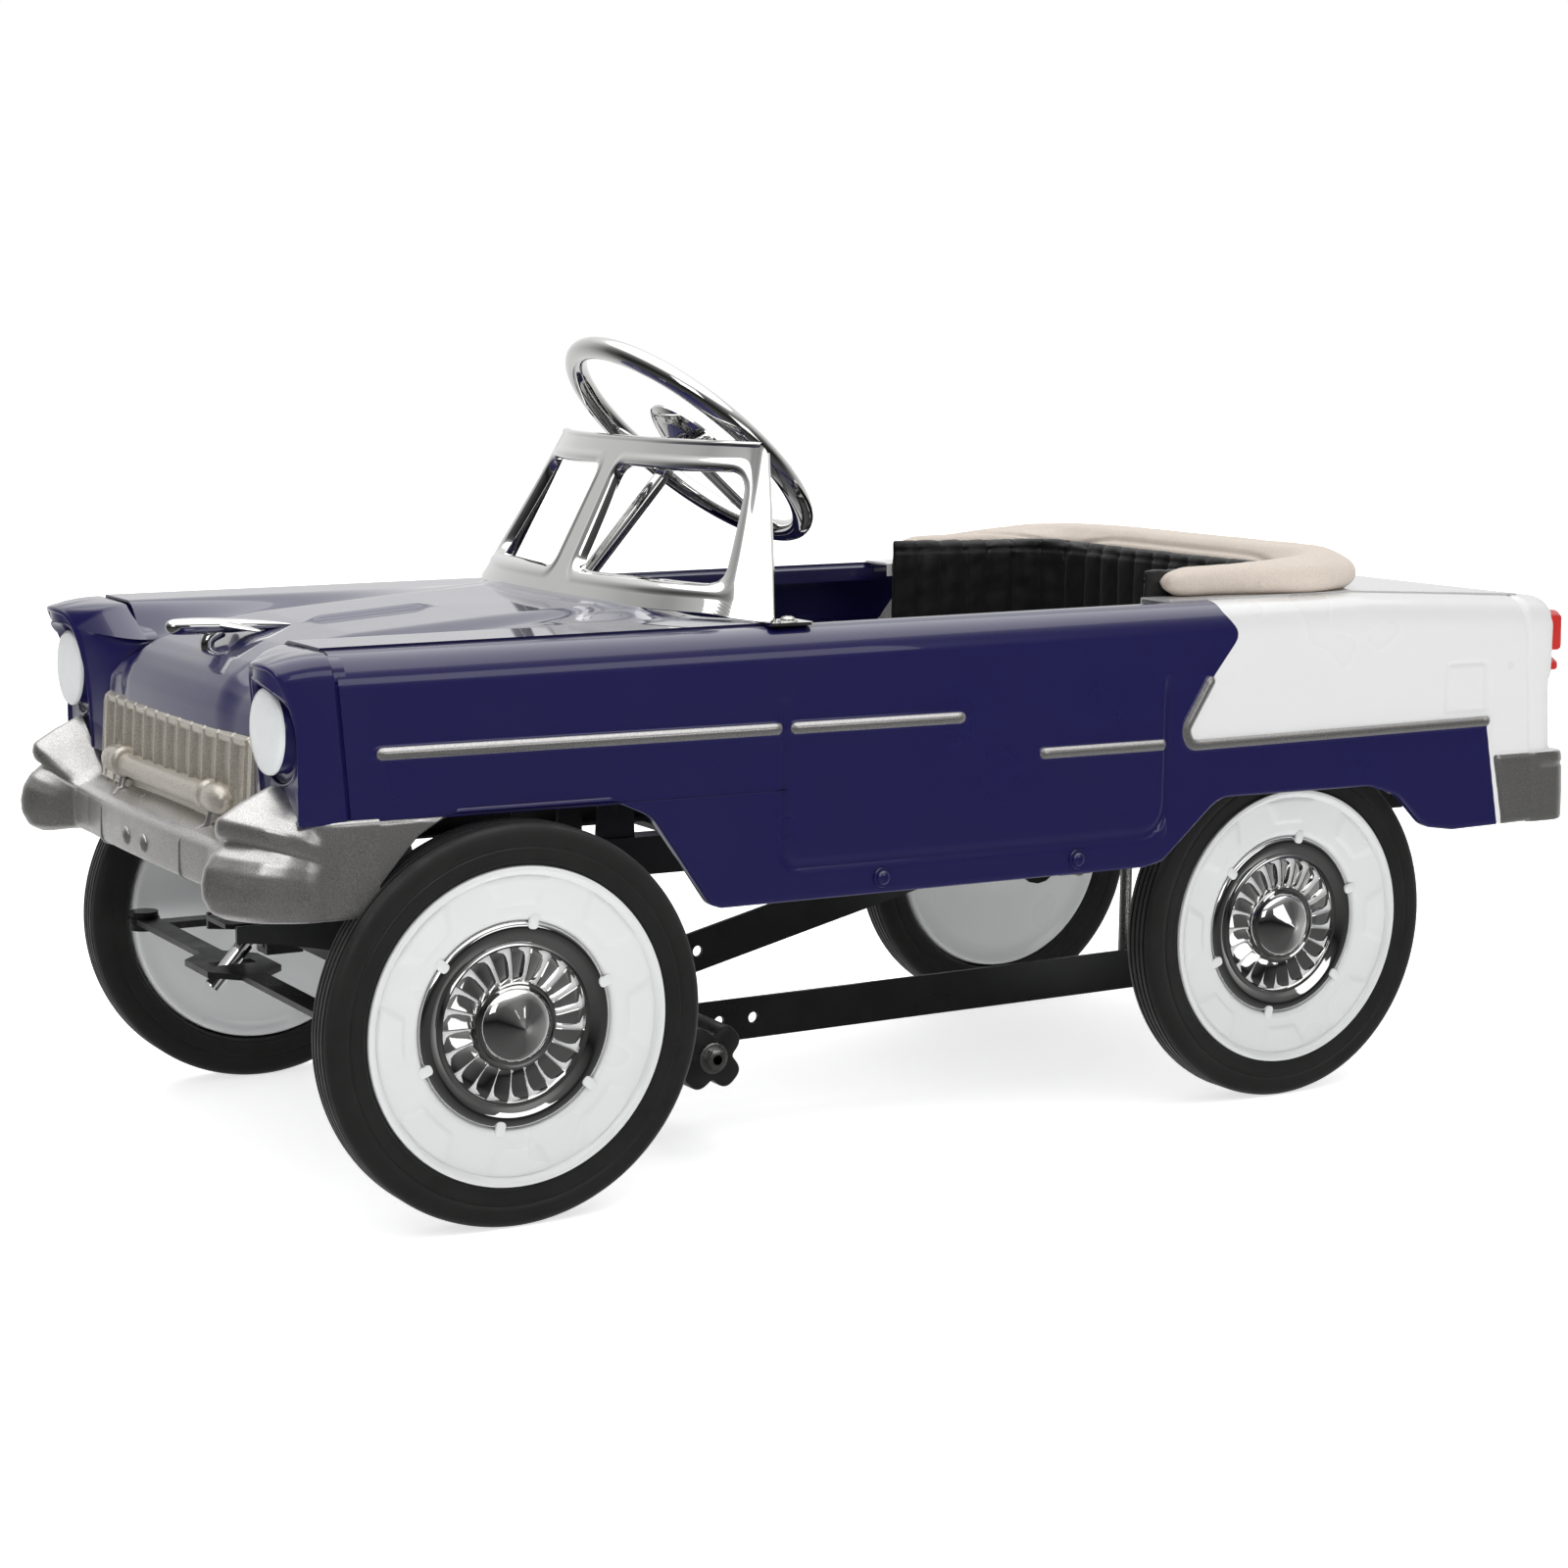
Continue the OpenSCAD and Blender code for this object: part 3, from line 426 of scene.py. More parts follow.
def body_enamel():
    """Three colours on one pressing, parted by the signed distances white_edge and silver_edge (mm)."""
    look = Look("body_enamel", {"Coat Weight": 1.0, "Coat Roughness": 0.03, "Coat IOR": 1.5})
    edge = 0.25
    white = look.remap(look.attribute("white_edge"), -edge, edge)
    silver = look.remap(look.attribute("silver_edge"), -edge, edge)
    mottle = look.noise(35.0)
    navy = look.mix(mottle, tinted(NAVY, 0.96), tinted(NAVY, 1.04))
    pale = look.mix(mottle, tinted(WHITE, 0.99), tinted(WHITE, 1.005))
    flakes = look.remap(look.noise(0.8, 1.0), 0.35, 0.65)
    bright = look.mix(flakes, tinted(SILVER, 0.80), tinted(SILVER, 1.16))
    look.to("Base Color", look.mix(silver, look.mix(white, navy, pale), bright))
    look.to("Metallic", look.mix_value(silver, 0.0, 0.88))
    gloss = look.remap(look.noise(60.0, 1.0), 0.3, 0.7, 0.27, 0.31)
    look.to("Roughness", look.mix_value(silver, gloss, 0.31))
    return look.bump((look.noise(3.5, 2.0), 0.006), (look.noise(0.9, 1.0), 0.001)).material


def plated(name, colour=(0.86, 0.86, 0.85), rough=(0.02, 0.07)):
    """Chrome plate with faint wipe marks and the slight waviness of pressed metal under it."""
    look = Look(name, {"Metallic": 1.0})
    look.to("Base Color", look.mix(look.noise(20.0, 4.0), tinted(colour, 0.96), colour))
    look.to("Roughness", look.remap(look.noise(9.0, 5.0, (1.0, 4.0, 1.0)), 0.35, 0.75, *rough))
    return look.bump((look.noise(22.0, 2.0), 0.03)).material


def zinc_plate():
    look = Look("zinc", {"Metallic": 1.0})
    look.to("Base Color", look.mix(look.noise(3.0, 5.0), (0.50, 0.50, 0.47), (0.74, 0.74, 0.72)))
    look.to("Roughness", look.remap(look.noise(1.2, 4.0, (6.0, 1.0, 1.0)), 0.3, 0.7, 0.20, 0.42))
    return look.bump((look.noise(0.7, 3.0, (8.0, 1.0, 1.0)), 0.03)).material


def rubber(name, colour, rough=(0.42, 0.62)):
    """Moulded rubber: dusty bloom in the colour and a fine pebble."""
    look = Look(name, {"Specular IOR Level": 0.45, "Sheen Weight": 0.08, "Sheen Roughness": 0.5})
    look.to("Base Color", look.mix(look.noise(25.0, 6.0), tinted(colour, 0.8), tinted(colour, 1.5)))
    look.to("Roughness", look.remap(look.noise(12.0, 5.0), 0.3, 0.7, *rough))
    return look.bump((look.noise(0.5, 2.0), 0.03), (look.noise(6.0), 0.05)).material


def powder_coat():
    look = Look("chassis_black", {"Specular IOR Level": 0.55, "Coat Weight": 0.25, "Coat Roughness": 0.2})
    look.to("Base Color", look.mix(look.noise(30.0, 5.0), (0.006, 0.006, 0.007), (0.013, 0.013, 0.014)))
    look.to("Roughness", look.remap(look.noise(18.0, 5.0), 0.3, 0.7, 0.26, 0.42))
    return look.bump((look.noise(1.3, 2.0), 0.03)).material


def vinyl(name, colour, rough, crease=0.10):
    """Padded vinyl: pebbled grain, soft creases and a little sheen."""
    look = Look(name, {"Sheen Weight": 0.12, "Sheen Roughness": 0.45, "Specular IOR Level": 0.45})
    tone = look.mix(look.noise(28.0, 5.0), tinted(colour, 0.90), tinted(colour, 1.06))
    grain = look.cells(0.9)
    look.to("Base Color", look.mix(look.remap(grain, 0.1, 0.7), tone, tinted(colour, 0.82)))
    look.to("Roughness", look.remap(look.noise(10.0, 4.0), 0.3, 0.7, *rough))
    return look.bump((look.noise(16.0, 5.0), crease), (grain, 0.035)).material


def lens(name, dark, light, ribs):
    """Coloured moulded plastic with fine ribs behind a clear face."""
    look = Look(name, {"Coat Weight": 1.0, "Coat Roughness": 0.05, "Roughness": 0.3})
    wave = look.node("ShaderNodeTexWave",
                     {"Vector": look.place, "Scale": 1000.0 / ribs, "Distortion": 0.0},
                     bands_direction="Z").outputs["Fac"]
    look.to("Base Color", look.mix(look.noise(8.0, 3.0), dark, light))
    return look.bump((wave, 0.03)).material


LOOKS = {
    "body": body_enamel(),
    "navy": enamel("navy_enamel", NAVY),
    "white": enamel("white_enamel", WHITE),
    "wheel": enamel("wheel_enamel", (0.76, 0.77, 0.77), 0.008),
    "silver": flake_paint("bumper_silver", SILVER),
    "champagne": flake_paint("grille_champagne", (0.60, 0.56, 0.49), 0.62, (0.28, 0.38)),
    "chrome": plated("chrome"),
    "zinc": zinc_plate(),
    "tyre": rubber("tyre_rubber", (0.010, 0.010, 0.0095)),
    "pedal": rubber("pedal_rubber", (0.010, 0.010, 0.010), (0.30, 0.48)),
    "black": powder_coat(),
    "vinyl": vinyl("black_vinyl", (0.012, 0.012, 0.0125), (0.30, 0.46)),
    "cream": vinyl("cream_vinyl", (0.80, 0.70, 0.61), (0.42, 0.60), 0.06),
    "thread": rubber("stitch_thread", (0.03, 0.03, 0.03)),
    "lamp": lens("lamp_lens", (0.66, 0.69, 0.69), (0.74, 0.76, 0.76), 4.0),
    "red": lens("tail_red", (0.52, 0.015, 0.015), (0.66, 0.03, 0.02), 3.0),
    "nylon": rubber("nylon", (0.06, 0.06, 0.058), (0.40, 0.55)),
}

# ---- body sides ----

SIDE_EDGE = [(-461, 203), (-459, 204), (-414, 248), (-393, 260), (-279, 260), (-254, 249), (-230, 215),
             (-212, 189), (-203, 186), (134, 186), (149, 189), (198, 231), (338, 230), (366, 221),
             (392, 196), (420, 192), (500, 193.5)]
SIDE_EDGE_RADIUS = [0, 2, 22, 30, 30, 26, 30, 10, 4, 10, 16, 30, 40, 26, 22, 30, 0]
TRIM_HALF = 3.7
TRIMS = [[(-437, 300), (-164, 300)], [(-151, 300), (-24, 300)], [(45, 272), (145, 272)]]
DIP = rounded([(186, 314), (165, 281), (169.5, 270), (446, 272.5)], [0, 9, 9, 0], closed=False)
DIP_LINE = [(446, 272.5), (463, 194)]
DOOR = rounded([(-159, 317), (-159, 209), (150, 209), (150, 317)], [0, 14, 24, 0], closed=False)
FUEL_DOOR = rounded([(408, 281), (446, 281), (446, 316), (408, 316)], 3)
SPLIT = rounded([(198, 380), (199, 362), (212, 346), (186, 314), (165, 281), (169.5, 270.5), (446, 272.5),
                 (463, 190)], [0, 8, 10, 0, 9, 9, 0, 0], closed=False)
SILVER_TOP = 259.5
REAR_BUMPER_TOP = 246.0


def front_seam(z):
    """The seam in front leans: its top is further forward."""
    return FRONT_SEAM - (np.asarray(z, float) - 282) * 0.089


def rear_seam(z):
    return REAR_SEAM - (np.asarray(z, float) - 290) * 0.084


def inside(y, z, outline):
    """True where (y, z) lies inside a closed outline."""
    hit = np.zeros(np.shape(y), bool)
    for (ay, az), (by, bz) in zip(outline, np.roll(outline, -1, axis=0)):
        crosses = (az > z) != (bz > z)
        at = ay + (z - az) * (by - ay) / (bz - az + 1e-12)
        hit ^= crosses & (y < at)
    return hit


def white_edge(y, z):
    """Signed distance to the edge of the white paint, positive in the white."""
    area = np.vstack([SPLIT, [(463, 100), (700, 100), (700, 500), (198, 500)]])
    distance = polyline_distance(y, z, [*SPLIT, (463, 100)])
    return np.where(inside(y, z, area), distance, -distance)


def silver_edge(y, z):
    """Signed distance to the nearest edge of silver paint: trim strips and both bumper ends."""
    strips = TRIM_HALF - np.minimum.reduce([polyline_distance(y, z, line) for line in (DIP, *TRIMS)])
    front = np.minimum(SILVER_TOP - z, -380 - y)
    slant = (y - 455) * math.cos(math.radians(12)) - (246 - z) * math.sin(math.radians(12))
    rear = np.minimum(REAR_BUMPER_TOP - z, slant)
    return np.maximum(strips, np.maximum(front, rear))


def side_relief(y, z):
    """How far the pressing stands out of the flat side."""
    out = 2.7 * hump(polyline_distance(y, z, DIP), 5.2)
    for trim in TRIMS:
        out = np.maximum(out, 2.7 * hump(polyline_distance(y, z, trim), 4.8))
    out += 1.0 * hump(polyline_distance(y, z, DIP_LINE), 3.2)
    door = polyline_distance(y, z, DOOR)
    out -= 1.5 * hump(door, 3.4) * smooth(330, 305, z)
    panel = (y > -159) & (y < 150) & (z > 209)
    out += np.where(panel, 0.9, 0.0) * smooth(1.0, 5.0, door) * smooth(330, 290, z)
    out -= 0.9 * hump(polyline_distance(y, z, [*FUEL_DOOR, FUEL_DOOR[0]]), 2.6)
    out += 1.2 * smooth(0, 2.0, np.minimum(SILVER_TOP - z, -380 - y))
    out += 2.2 * smooth(-1.0, 2.5, np.minimum(REAR_BUMPER_TOP - z, y - 456 - (246 - z) * 0.2))
    return out


def body_side(side):
    edge = rounded(SIDE_EDGE, SIDE_EDGE_RADIUS, closed=False)
    ys = np.unique(np.round(np.concatenate([np.arange(FRONT_SEAM, REAR_SEAM, 2.4), [REAR_SEAM],
                                            edge[:, 0]]), 2))
    ys = ys[(ys >= FRONT_SEAM) & (ys <= REAR_SEAM)]
    ys = ys[np.concatenate([[True], np.diff(ys) > 0.35])]
    low = np.interp(ys, edge[:, 0], edge[:, 1])
    top = belt(ys)
    band_low, band_high = 262.0, 322.0
    rows = [(HALF_W - 8, low + 0.2), (HALF_W - 3, low), (HALF_W - 0.9, low + 0.5)]
    rows += [(HALF_W, low + 2.2 + (band_low - low - 2.2) * t) for t in np.linspace(0, 1, 28)]
    rows += [(HALF_W, np.full_like(ys, z)) for z in np.arange(band_low + 1.2, band_high, 1.2)]
    rows += [(HALF_W, band_high + (top - SHOULDER - band_high) * t) for t in np.linspace(0, 1, 9)]
    arc = np.radians(np.linspace(0, 90, 14)[1:])
    rows += [(COCKPIT_X + SHOULDER * math.cos(a), top - SHOULDER * (1 - math.sin(a))) for a in arc]
    first_roll = len(rows)
    for a in np.radians(np.linspace(0, 110, 8)[1:]):
        rows.append((COCKPIT_X - 3.5 * (1 - math.cos(a)), top - 4.2 * math.sin(a)))
    rows.append((COCKPIT_X - 5.5, top - 14))
    x = np.array([np.broadcast_to(r[0], ys.shape) for r in rows], float)
    z = np.array([np.broadcast_to(r[1], ys.shape) for r in rows], float)
    y = np.broadcast_to(ys, x.shape).copy()
    flat = np.where(x > HALF_W - 4, 1.0, 0.0) * (z < top - SHOULDER + 6)
    x = x + side_relief(y, z) * flat * smooth(0, 2.5, z - low)
    y += (front_seam(z) + 0.5 - FRONT_SEAM) * (1 - smooth(0, 60, ys - FRONT_SEAM))
    y += (rear_seam(z) - 0.5 - REAR_SEAM) * smooth(-60, 0, ys - REAR_SEAM)
    open_y = (ys[:-1] > -158) & (ys[1:] < 172)
    keep = [[True] * (len(ys) - 1)] * (first_roll - 1) + [list(open_y)] * (len(rows) - first_roll)
    part = (np.stack([x, y, z], axis=2).reshape(-1, 3), grid_faces(len(rows), len(ys), keep=keep))
    name = "left_side" if side > 0 else "right_side"
    return piece(f"{name}_pressing", sided(part, side), "car", LOOKS["body"],
                 replaces=name.replace("side", "body_side"), thick=SHEET, outward=False, angle=60,
                 attributes={"white_edge": white_edge(y, z), "silver_edge": silver_edge(y, z)})


# ---- hood ----

HOOD_LINE = np.array([(-216, 370), (-300, 364.5), (-397, 356.5), (-440, 350), (-468, 341), (-479, 334.5),
                      (-486, 326), (-490, 315), (-490.5, 301)], float)
VALLEY_X, FENDER_X, CROWN_X = 112.0, 152.0, 82.0
NOSE_HALF, NOSE_LOW_HALF = 113.0, 141.0
COWL_EDGE = np.array([(0, -216), (60, -213), (100, -205), (160, -180), (203, -150)], float)
COWL_CREASE = 17.0


def cowl_y(u):
    return np.interp(np.abs(u), COWL_EDGE[:, 0], COWL_EDGE[:, 1])


def hood_curve():
    """The hood's centre line as smooth points and outward normals, from the cowl to the nose edge."""
    line = resample(rounded(HOOD_LINE, [0, 60, 60, 40, 18, 10, 9, 14, 0], closed=False), 120)
    tangent = np.gradient(line, axis=0)
    tangent /= np.linalg.norm(tangent, axis=1)[:, None]
    return line, np.stack([tangent[:, 1], -tangent[:, 0]], axis=1)


def valley_depth(y):
    return np.interp(y, [-470, -440, -300, -216], [9.0, 8.5, 5.0, 1.5])


def hood_height(u, y):
    """Height of the hood behind the front seam, u being the distance from the centre line."""
    line, _ = hood_curve()
    back = line[::-1]
    crown = np.interp(y, back[:, 0], back[:, 1])
    valley = crown - valley_depth(y) * smooth(CROWN_X, VALLEY_X, u)
    return valley + (belt(y) - valley) * smooth(VALLEY_X, FENDER_X, u)


def hood():
    """Middle panel with its nose, both valleys and both fender tops, in one pressing."""
    xs = np.unique(np.concatenate([np.linspace(-COCKPIT_X, COCKPIT_X, 151), [-0.01, 0.01]]))
    u = np.abs(xs)
    t = np.linspace(0, 1, 90)
    rear = cowl_y(u)
    y = (float(front_seam(361)) + 0.6 - rear) * t[:, None] + rear
    z = hood_height(u, y)
    ridge = hump(u, 5.0) * smooth(-300, -320, y) * smooth(-400, -385, y)
    crease = hump(y - rear + COWL_CREASE, 5.0) * smooth(204, 180, u)
    raised = smooth(-COWL_CREASE - 4, -COWL_CREASE + 4, y - rear) * smooth(206, 170, u)
    z = z + 3.2 * ridge + 1.2 * raised - 0.6 * crease
    flange = [np.stack([xs, rear + dy, z[0] - dz], axis=1)
              for dy, dz in ((0.8, 6.0), (1.6, 3.0), (1.2, 1.0))]
    top = np.concatenate([flange, np.stack([np.broadcast_to(xs, y.shape), y, z], axis=2)])
    panel = top.reshape(-1, 3), grid_faces(len(top), len(xs))
    return panel


def nose():
    """The hood's front end, wrapping down to the grille between the two lamp nacelles."""
    line, normal = hood_curve()
    front = line[:, 0] < FRONT_SEAM + 1
    line, normal = line[front], normal[front]
    lead = smooth(0, 1, np.linspace(0, 1, len(line)))
    half = NOSE_HALF + (NOSE_LOW_HALF - NOSE_HALF) * smooth(340, 302, line[:, 1])
    xs = np.linspace(-1, 1, 121)[None, :] * half[:, None]
    u = np.abs(xs)
    drop = 9.0 * (1 - 0.85 * lead)[:, None] * smooth(CROWN_X, VALLEY_X, u)
    drop += 5.0 * lead[:, None] * (u / NOSE_LOW_HALF) ** 2
    drop += 0.9 * smooth(FRONT_SEAM - 1.6, FRONT_SEAM + 0.6, line[:, 0])[:, None]
    y = line[:, :1] - normal[:, :1] * drop
    z = line[:, 1:] - normal[:, 1:] * drop
    rows = list(np.stack([xs, y, z], axis=2))
    last = rows[-1]
    rows += [last + (0, 1.0, -1.6), last + (0, 3.5, -2.0), last + (0, 8.0, -1.0)]
    return np.array(rows).reshape(-1, 3), grid_faces(len(rows), xs.shape[1])


def hood_pieces():
    piece("hood_pressing", joined([hood(), nose()]), "car", LOOKS["navy"],
          replaces="hood_panel", thick=SHEET, angle=50, outward=False)


# ---- lamp nacelles ----

LAMP_LO, LAMP_HI = node_box("headlamps")
LAMP_X = (LAMP_HI[0] + 161) / 2
LAMP_Z = (LAMP_LO[2] + LAMP_HI[2]) / 2
LAMP_FACE = LAMP_LO[1]
LAMP_R = 26.3
DISH_R = 33.0
JOGGLE = 1.8


def ring_through(corners, radii, fill, steps=8):
    """A closed ring with rounded corners and fill[i] points on the run after corner i."""
    pts = np.array(corners, float)
    arcs = []
    for i, p in enumerate(pts):
        a, b = pts[i - 1] - p, pts[(i + 1) % len(pts)] - p
        la, lb = np.linalg.norm(a), np.linalg.norm(b)
        cut = min(radii[i], 0.49 * la, 0.49 * lb)
        start, end = p + a / la * cut, p + b / lb * cut
        t = np.linspace(0, 1, steps + 1)[:, None]
        arcs.append((1 - t) ** 2 * start + 2 * t * (1 - t) * p + t * t * end)
    out = []
    for i, arc in enumerate(arcs):
        out.append(arc)
        t = np.linspace(0, 1, fill[i] + 2)[1:-1, None]
        out.append(arc[-1] * (1 - t) + arcs[(i + 1) % len(arcs)][0] * t)
    return np.vstack(out)


def nacelle():
    """One lamp nacelle: it starts inside the body's seam and ends in a visor round the lamp."""
    top = float(belt(FRONT_SEAM))
    fill = [16, 10, 12, 12, 8, 8, 8, 26]
    start = ring_through([(HALF_W + 0.5, 0, 259), (HALF_W + 0.5, 0, 322), (HALF_W + 0.5, 0, top),
                          (190, 0, top), (150, 0, top - 0.5), (112, -463, 338), (128, -480, 316),
                          (141, -488, 259)], [1, 10, 24, 2, 30, 12, 12, 1], fill)
    rim = ring_through([(HALF_W, -488.5, 259), (HALF_W + 0.3, -489, 322), (HALF_W - 1, -503, 354),
                        (199, -508.0, 356), (175, -502, 353), (164, -496.5, 332), (161.5, -492, 295),
                        (164, -489.5, 259)], [1, 18, 17, 12, 20, 16, 10, 1], fill)
    seam = front_seam(start[:, 2])
    start[:, 1] = np.where(start[:, 1] == 0, seam - 1.2, start[:, 1])
    behind = (start[:, 0] > 112.5) & (start[:, 2] > 338.5)
    start[:, 1] = np.where(behind, seam - 1.2, start[:, 1])
    inside_ring = start - (JOGGLE, 0, 0) * (start[:, :1] > 205) - (0, 0, JOGGLE) * (start[:, 2:] > 345)
    rows = [inside_ring + (0, 9.0, 0), inside_ring + (0, 1.6, 0),
            inside_ring * 0.3 + start * 0.7 + (0, 0.5, 0)]
    for t in np.linspace(0, 1, 26):
        w = t ** 2.0
        ring = start * (1 - w) + rim * w
        ring[:, 1] = start[:, 1] * (1 - t) + rim[:, 1] * t
        rows.append(ring)
    centre = np.array([LAMP_X, 0, LAMP_Z])
    inward = (centre - rim) * (1, 0, 1)
    inward /= np.linalg.norm(inward, axis=1)[:, None]
    distance = np.linalg.norm((centre - rim) * (1, 0, 1), axis=1)
    for out, back in ((0.9, -1.2), (2.0, -1.4), (3.2, -0.8), (3.9, 0.4)):
        rows.append(rim + inward * out + (0, back, 0))
    dish = np.minimum(DISH_R, distance - 4.4)
    for r, back in ((dish + 0.6, 0.6), (dish, -0.4), (dish - 1.0, -0.2), (dish - 1.8, 1.6),
                    (dish - 2.2, 4.0)):
        rows.append(rim + inward * (distance - r)[:, None] + (0, 1, 0) * np.array([0, back, 0]))
    angle = np.arctan2(rim[:, 2] - LAMP_Z, rim[:, 0] - LAMP_X)
    for r, y in ((LAMP_R + 2.4, 13.5), (LAMP_R - 0.2, 13.5), (LAMP_R - 0.9, 12.6), (LAMP_R - 0.9, 3.2)):
        rows.append(np.stack([LAMP_X + r * np.cos(angle), np.full_like(angle, LAMP_FACE + y),
                              LAMP_Z + r * np.sin(angle)], axis=1))
    return sweep(rows, caps=False)


def lamp():
    """A slightly domed lens with a rolled edge."""
    profile = [(0, -1.0), (12, -0.7), (19, -0.1), (23, 0.7), (25.4, 1.5), (LAMP_R, 2.6), (LAMP_R, 4.4),
               (0, 4.4)]
    part = moved(lathe([(max(r, 0.01), x) for r, x in profile], 72), turn=(0, 0, 90))
    return moved(part, (LAMP_X, LAMP_FACE, LAMP_Z))


# ---- front bumper ----

BAR_FACE = node_box("front_clip")[0][1] + 20.0
CORNER_PROFILE = [(8, 203), (24, 201.5), (33, 206), (37.5, 215), (38, 223), (36, 232), (31, 239.5),
                  (25, 244), (21.5, 247), (22.5, 250), (28, 252), (29, 256), (28.3, 260.5), (26.5, 262),
                  (14, 264.5), (-6, 266)]
CORNER_RADII = [0, 6, 8, 8, 8, 8, 6, 4, 2.4, 1.6, 1.6, 3, 1.4, 1.4, 6, 0]
SIDE_PROFILE = [(-7, 203), (-1, 202.5), (0, 206), (0, 212), (0, 219), (0, 227), (0, 236), (0, 245),
                (0, 248.5), (0, 251), (0.3, 255), (0.6, 258), (-0.5, 259.8), (-3, 260)]
BAR_PROFILE = [(-12, 209), (-3, 207), (0, 208.5), (0.6, 212), (0.8, 221), (0.6, 229), (0, 232), (-2, 234),
               (-5, 235.5), (-9, 237), (-14, 239), (-19, 241), (-23, 242.5), (-25, 242.5)]
CORNER_BASE = -499.5


def bumper():
    """One sheet from side to side: flat side wing, bulged end and the low middle bar."""
    path = resample(rounded([(0, 0), (118, 0), (175, 0), (HALF_W, 14), (HALF_W, 60)], [0, 0, 60, 30, 0],
                            closed=False), 170)
    x = path[:, 0]
    side = smooth(2, 28, path[:, 1])
    end = smooth(145, 186, x)
    bow = 1 - np.clip(x / 118, 0, 1) ** 2
    rows = []
    tables = [rounded(t, r, steps=3, closed=False)
              for t, r in ((BAR_PROFILE, 2), (CORNER_PROFILE, CORNER_RADII), (SIDE_PROFILE, 3))]
    bar, corner, flat = [resample(t, 96) for t in tables]
    roof = np.clip((26.5 - corner[:, 0]) / 32.5, 0, 1) * (corner[:, 1] > 259)
    for k in range(len(path)):
        shape = bar * (1 - end[k]) + corner * end[k]
        shape = shape * (1 - side[k]) + flat * side[k]
        z = shape[:, 1] + 2.5 * bow[k] * (1 - end[k])
        z = z + 13 * hump(x[k] - 184, 38) * roof * end[k] * (1 - side[k])
        base = CORNER_BASE * end[k] + (BAR_FACE + 7 - 7 * bow[k]) * (1 - end[k])
        rows.append(np.stack([np.full_like(z, x[k]) + side[k] * shape[:, 0] * 0.8,
                              base + path[k, 1] - shape[:, 0] * (1 - side[k]), z], axis=1))
    half = np.array(rows)
    whole = np.concatenate([(half * (-1, 1, 1))[:0:-1], half])
    return whole.reshape(-1, 3), grid_faces(*whole.shape[:2])


def bumper_fittings():
    """Two upright guards, the rods running down to them and two bolts in the middle of the bar."""
    parts = []
    for s in (-1, 1):
        x = s * 77
        line = [(x, -503, 207), (x, -511.4, 209.5), (x, -511.2, 232), (x + s * 3, -503, 236.5),
                (x + s * 8, -496, 240), (x + s * 9, -493, 253)]
        parts.append(tube(resample(rounded(line, [0, 4, 5, 5, 5, 0], closed=False), 40),
                          np.interp(np.arange(40), [0, 24, 30, 39], [2.7, 2.7, 3.6, 2.9]), 16))
        ring = [(6.6, 0), (6.6, 1.0), (5.8, 2.4), (3.8, 3.6), (0.01, 4.2), (0.01, 0)]
        bolt = moved(lathe(ring, 36), turn=(0, 0, -90))
        parts.append(moved(bolt, (s * 17, -514.6, 221)))
    return joined(parts)


# ---- grille ----

GRILLE_HALF = 144.0
GRILLE_TOP = np.array([-485.5, 302.0])
GRILLE_LOW = np.array([-488.5, 242.0])
POCKETS = 12


def grille():
    """Pressed panel: raised frame, upright bars with rounded ends, a recessed floor between them."""
    u = np.linspace(-1, 1, 505)
    v = np.linspace(0, 1, 61)
    uu, vv = np.meshgrid(u, v)
    x = uu * GRILLE_HALF
    length = GRILLE_TOP[1] - GRILLE_LOW[1]
    edge = np.minimum((1 - np.abs(uu)) * GRILLE_HALF, np.minimum(vv, 1 - vv) * length)
    border = 11.0
    pitch = 2 * (GRILLE_HALF - border) / POCKETS
    phase = np.abs((x + GRILLE_HALF - border) % pitch - pitch / 2)
    field = smooth(GRILLE_HALF - border + 0.6, GRILLE_HALF - border - 0.6, np.abs(x))
    pocket = (smooth(pitch / 2 - 1.6, pitch / 2 - 3.6, phase)
              * smooth(5.0, 7.6, np.minimum(vv, 1 - vv) * length) * field)
    out = 4.4 - 3.4 * pocket + 0.9 * hump(phase - pitch / 2, 2.2) * field
    out -= 1.2 * hump(np.abs(x) - GRILLE_HALF + border - 1.5, 1.4)
    out += 0.7 * hump(edge - 1.6, 1.6) - 3.6 * (1 - smooth(0, 1.6, edge))
    low = smooth(0.80, 0.86, vv) * smooth(76, 73, np.abs(x))
    out = out * (1 - low) + 1.5 * low
    corner = 6.0 * smooth(GRILLE_HALF - 10, GRILLE_HALF, np.abs(x)) ** 2
    y = GRILLE_TOP[0] + (GRILLE_LOW[0] - GRILLE_TOP[0]) * vv + 3 - out - 5.0 * (1 - uu ** 2)
    z = GRILLE_TOP[1] - length * vv - corner * (1 - vv)
    return np.stack([x, y, z], axis=2).reshape(-1, 3), grid_faces(*x.shape)


def grille_bar():
    """The cross bar in front of the grille, its two pods and the short arms outside them."""
    bar_y, bar_z = -492.5, 258.5
    parts = [tube([(x, bar_y - 1.0 * (1 - (x / 84) ** 2), bar_z) for x in np.linspace(-84, 84, 13)], 8.2,
                  24)]
    xs = [78, 78.4, 80, 83, 86, 88, 89.5, 92, 96, 102, 108, 111.5, 113.6, 114.4]
    radii = [0.5, 8.4, 10.2, 10.6, 10.2, 9.2, 9.0, 9.6, 9.9, 9.6, 8.4, 6.6, 4.0, 0.5]
    for s in (-1, 1):
        parts.append(tube([(s * x, bar_y - 1.5, bar_z + 1.5) for x in xs], radii, 32))
    return joined(parts)


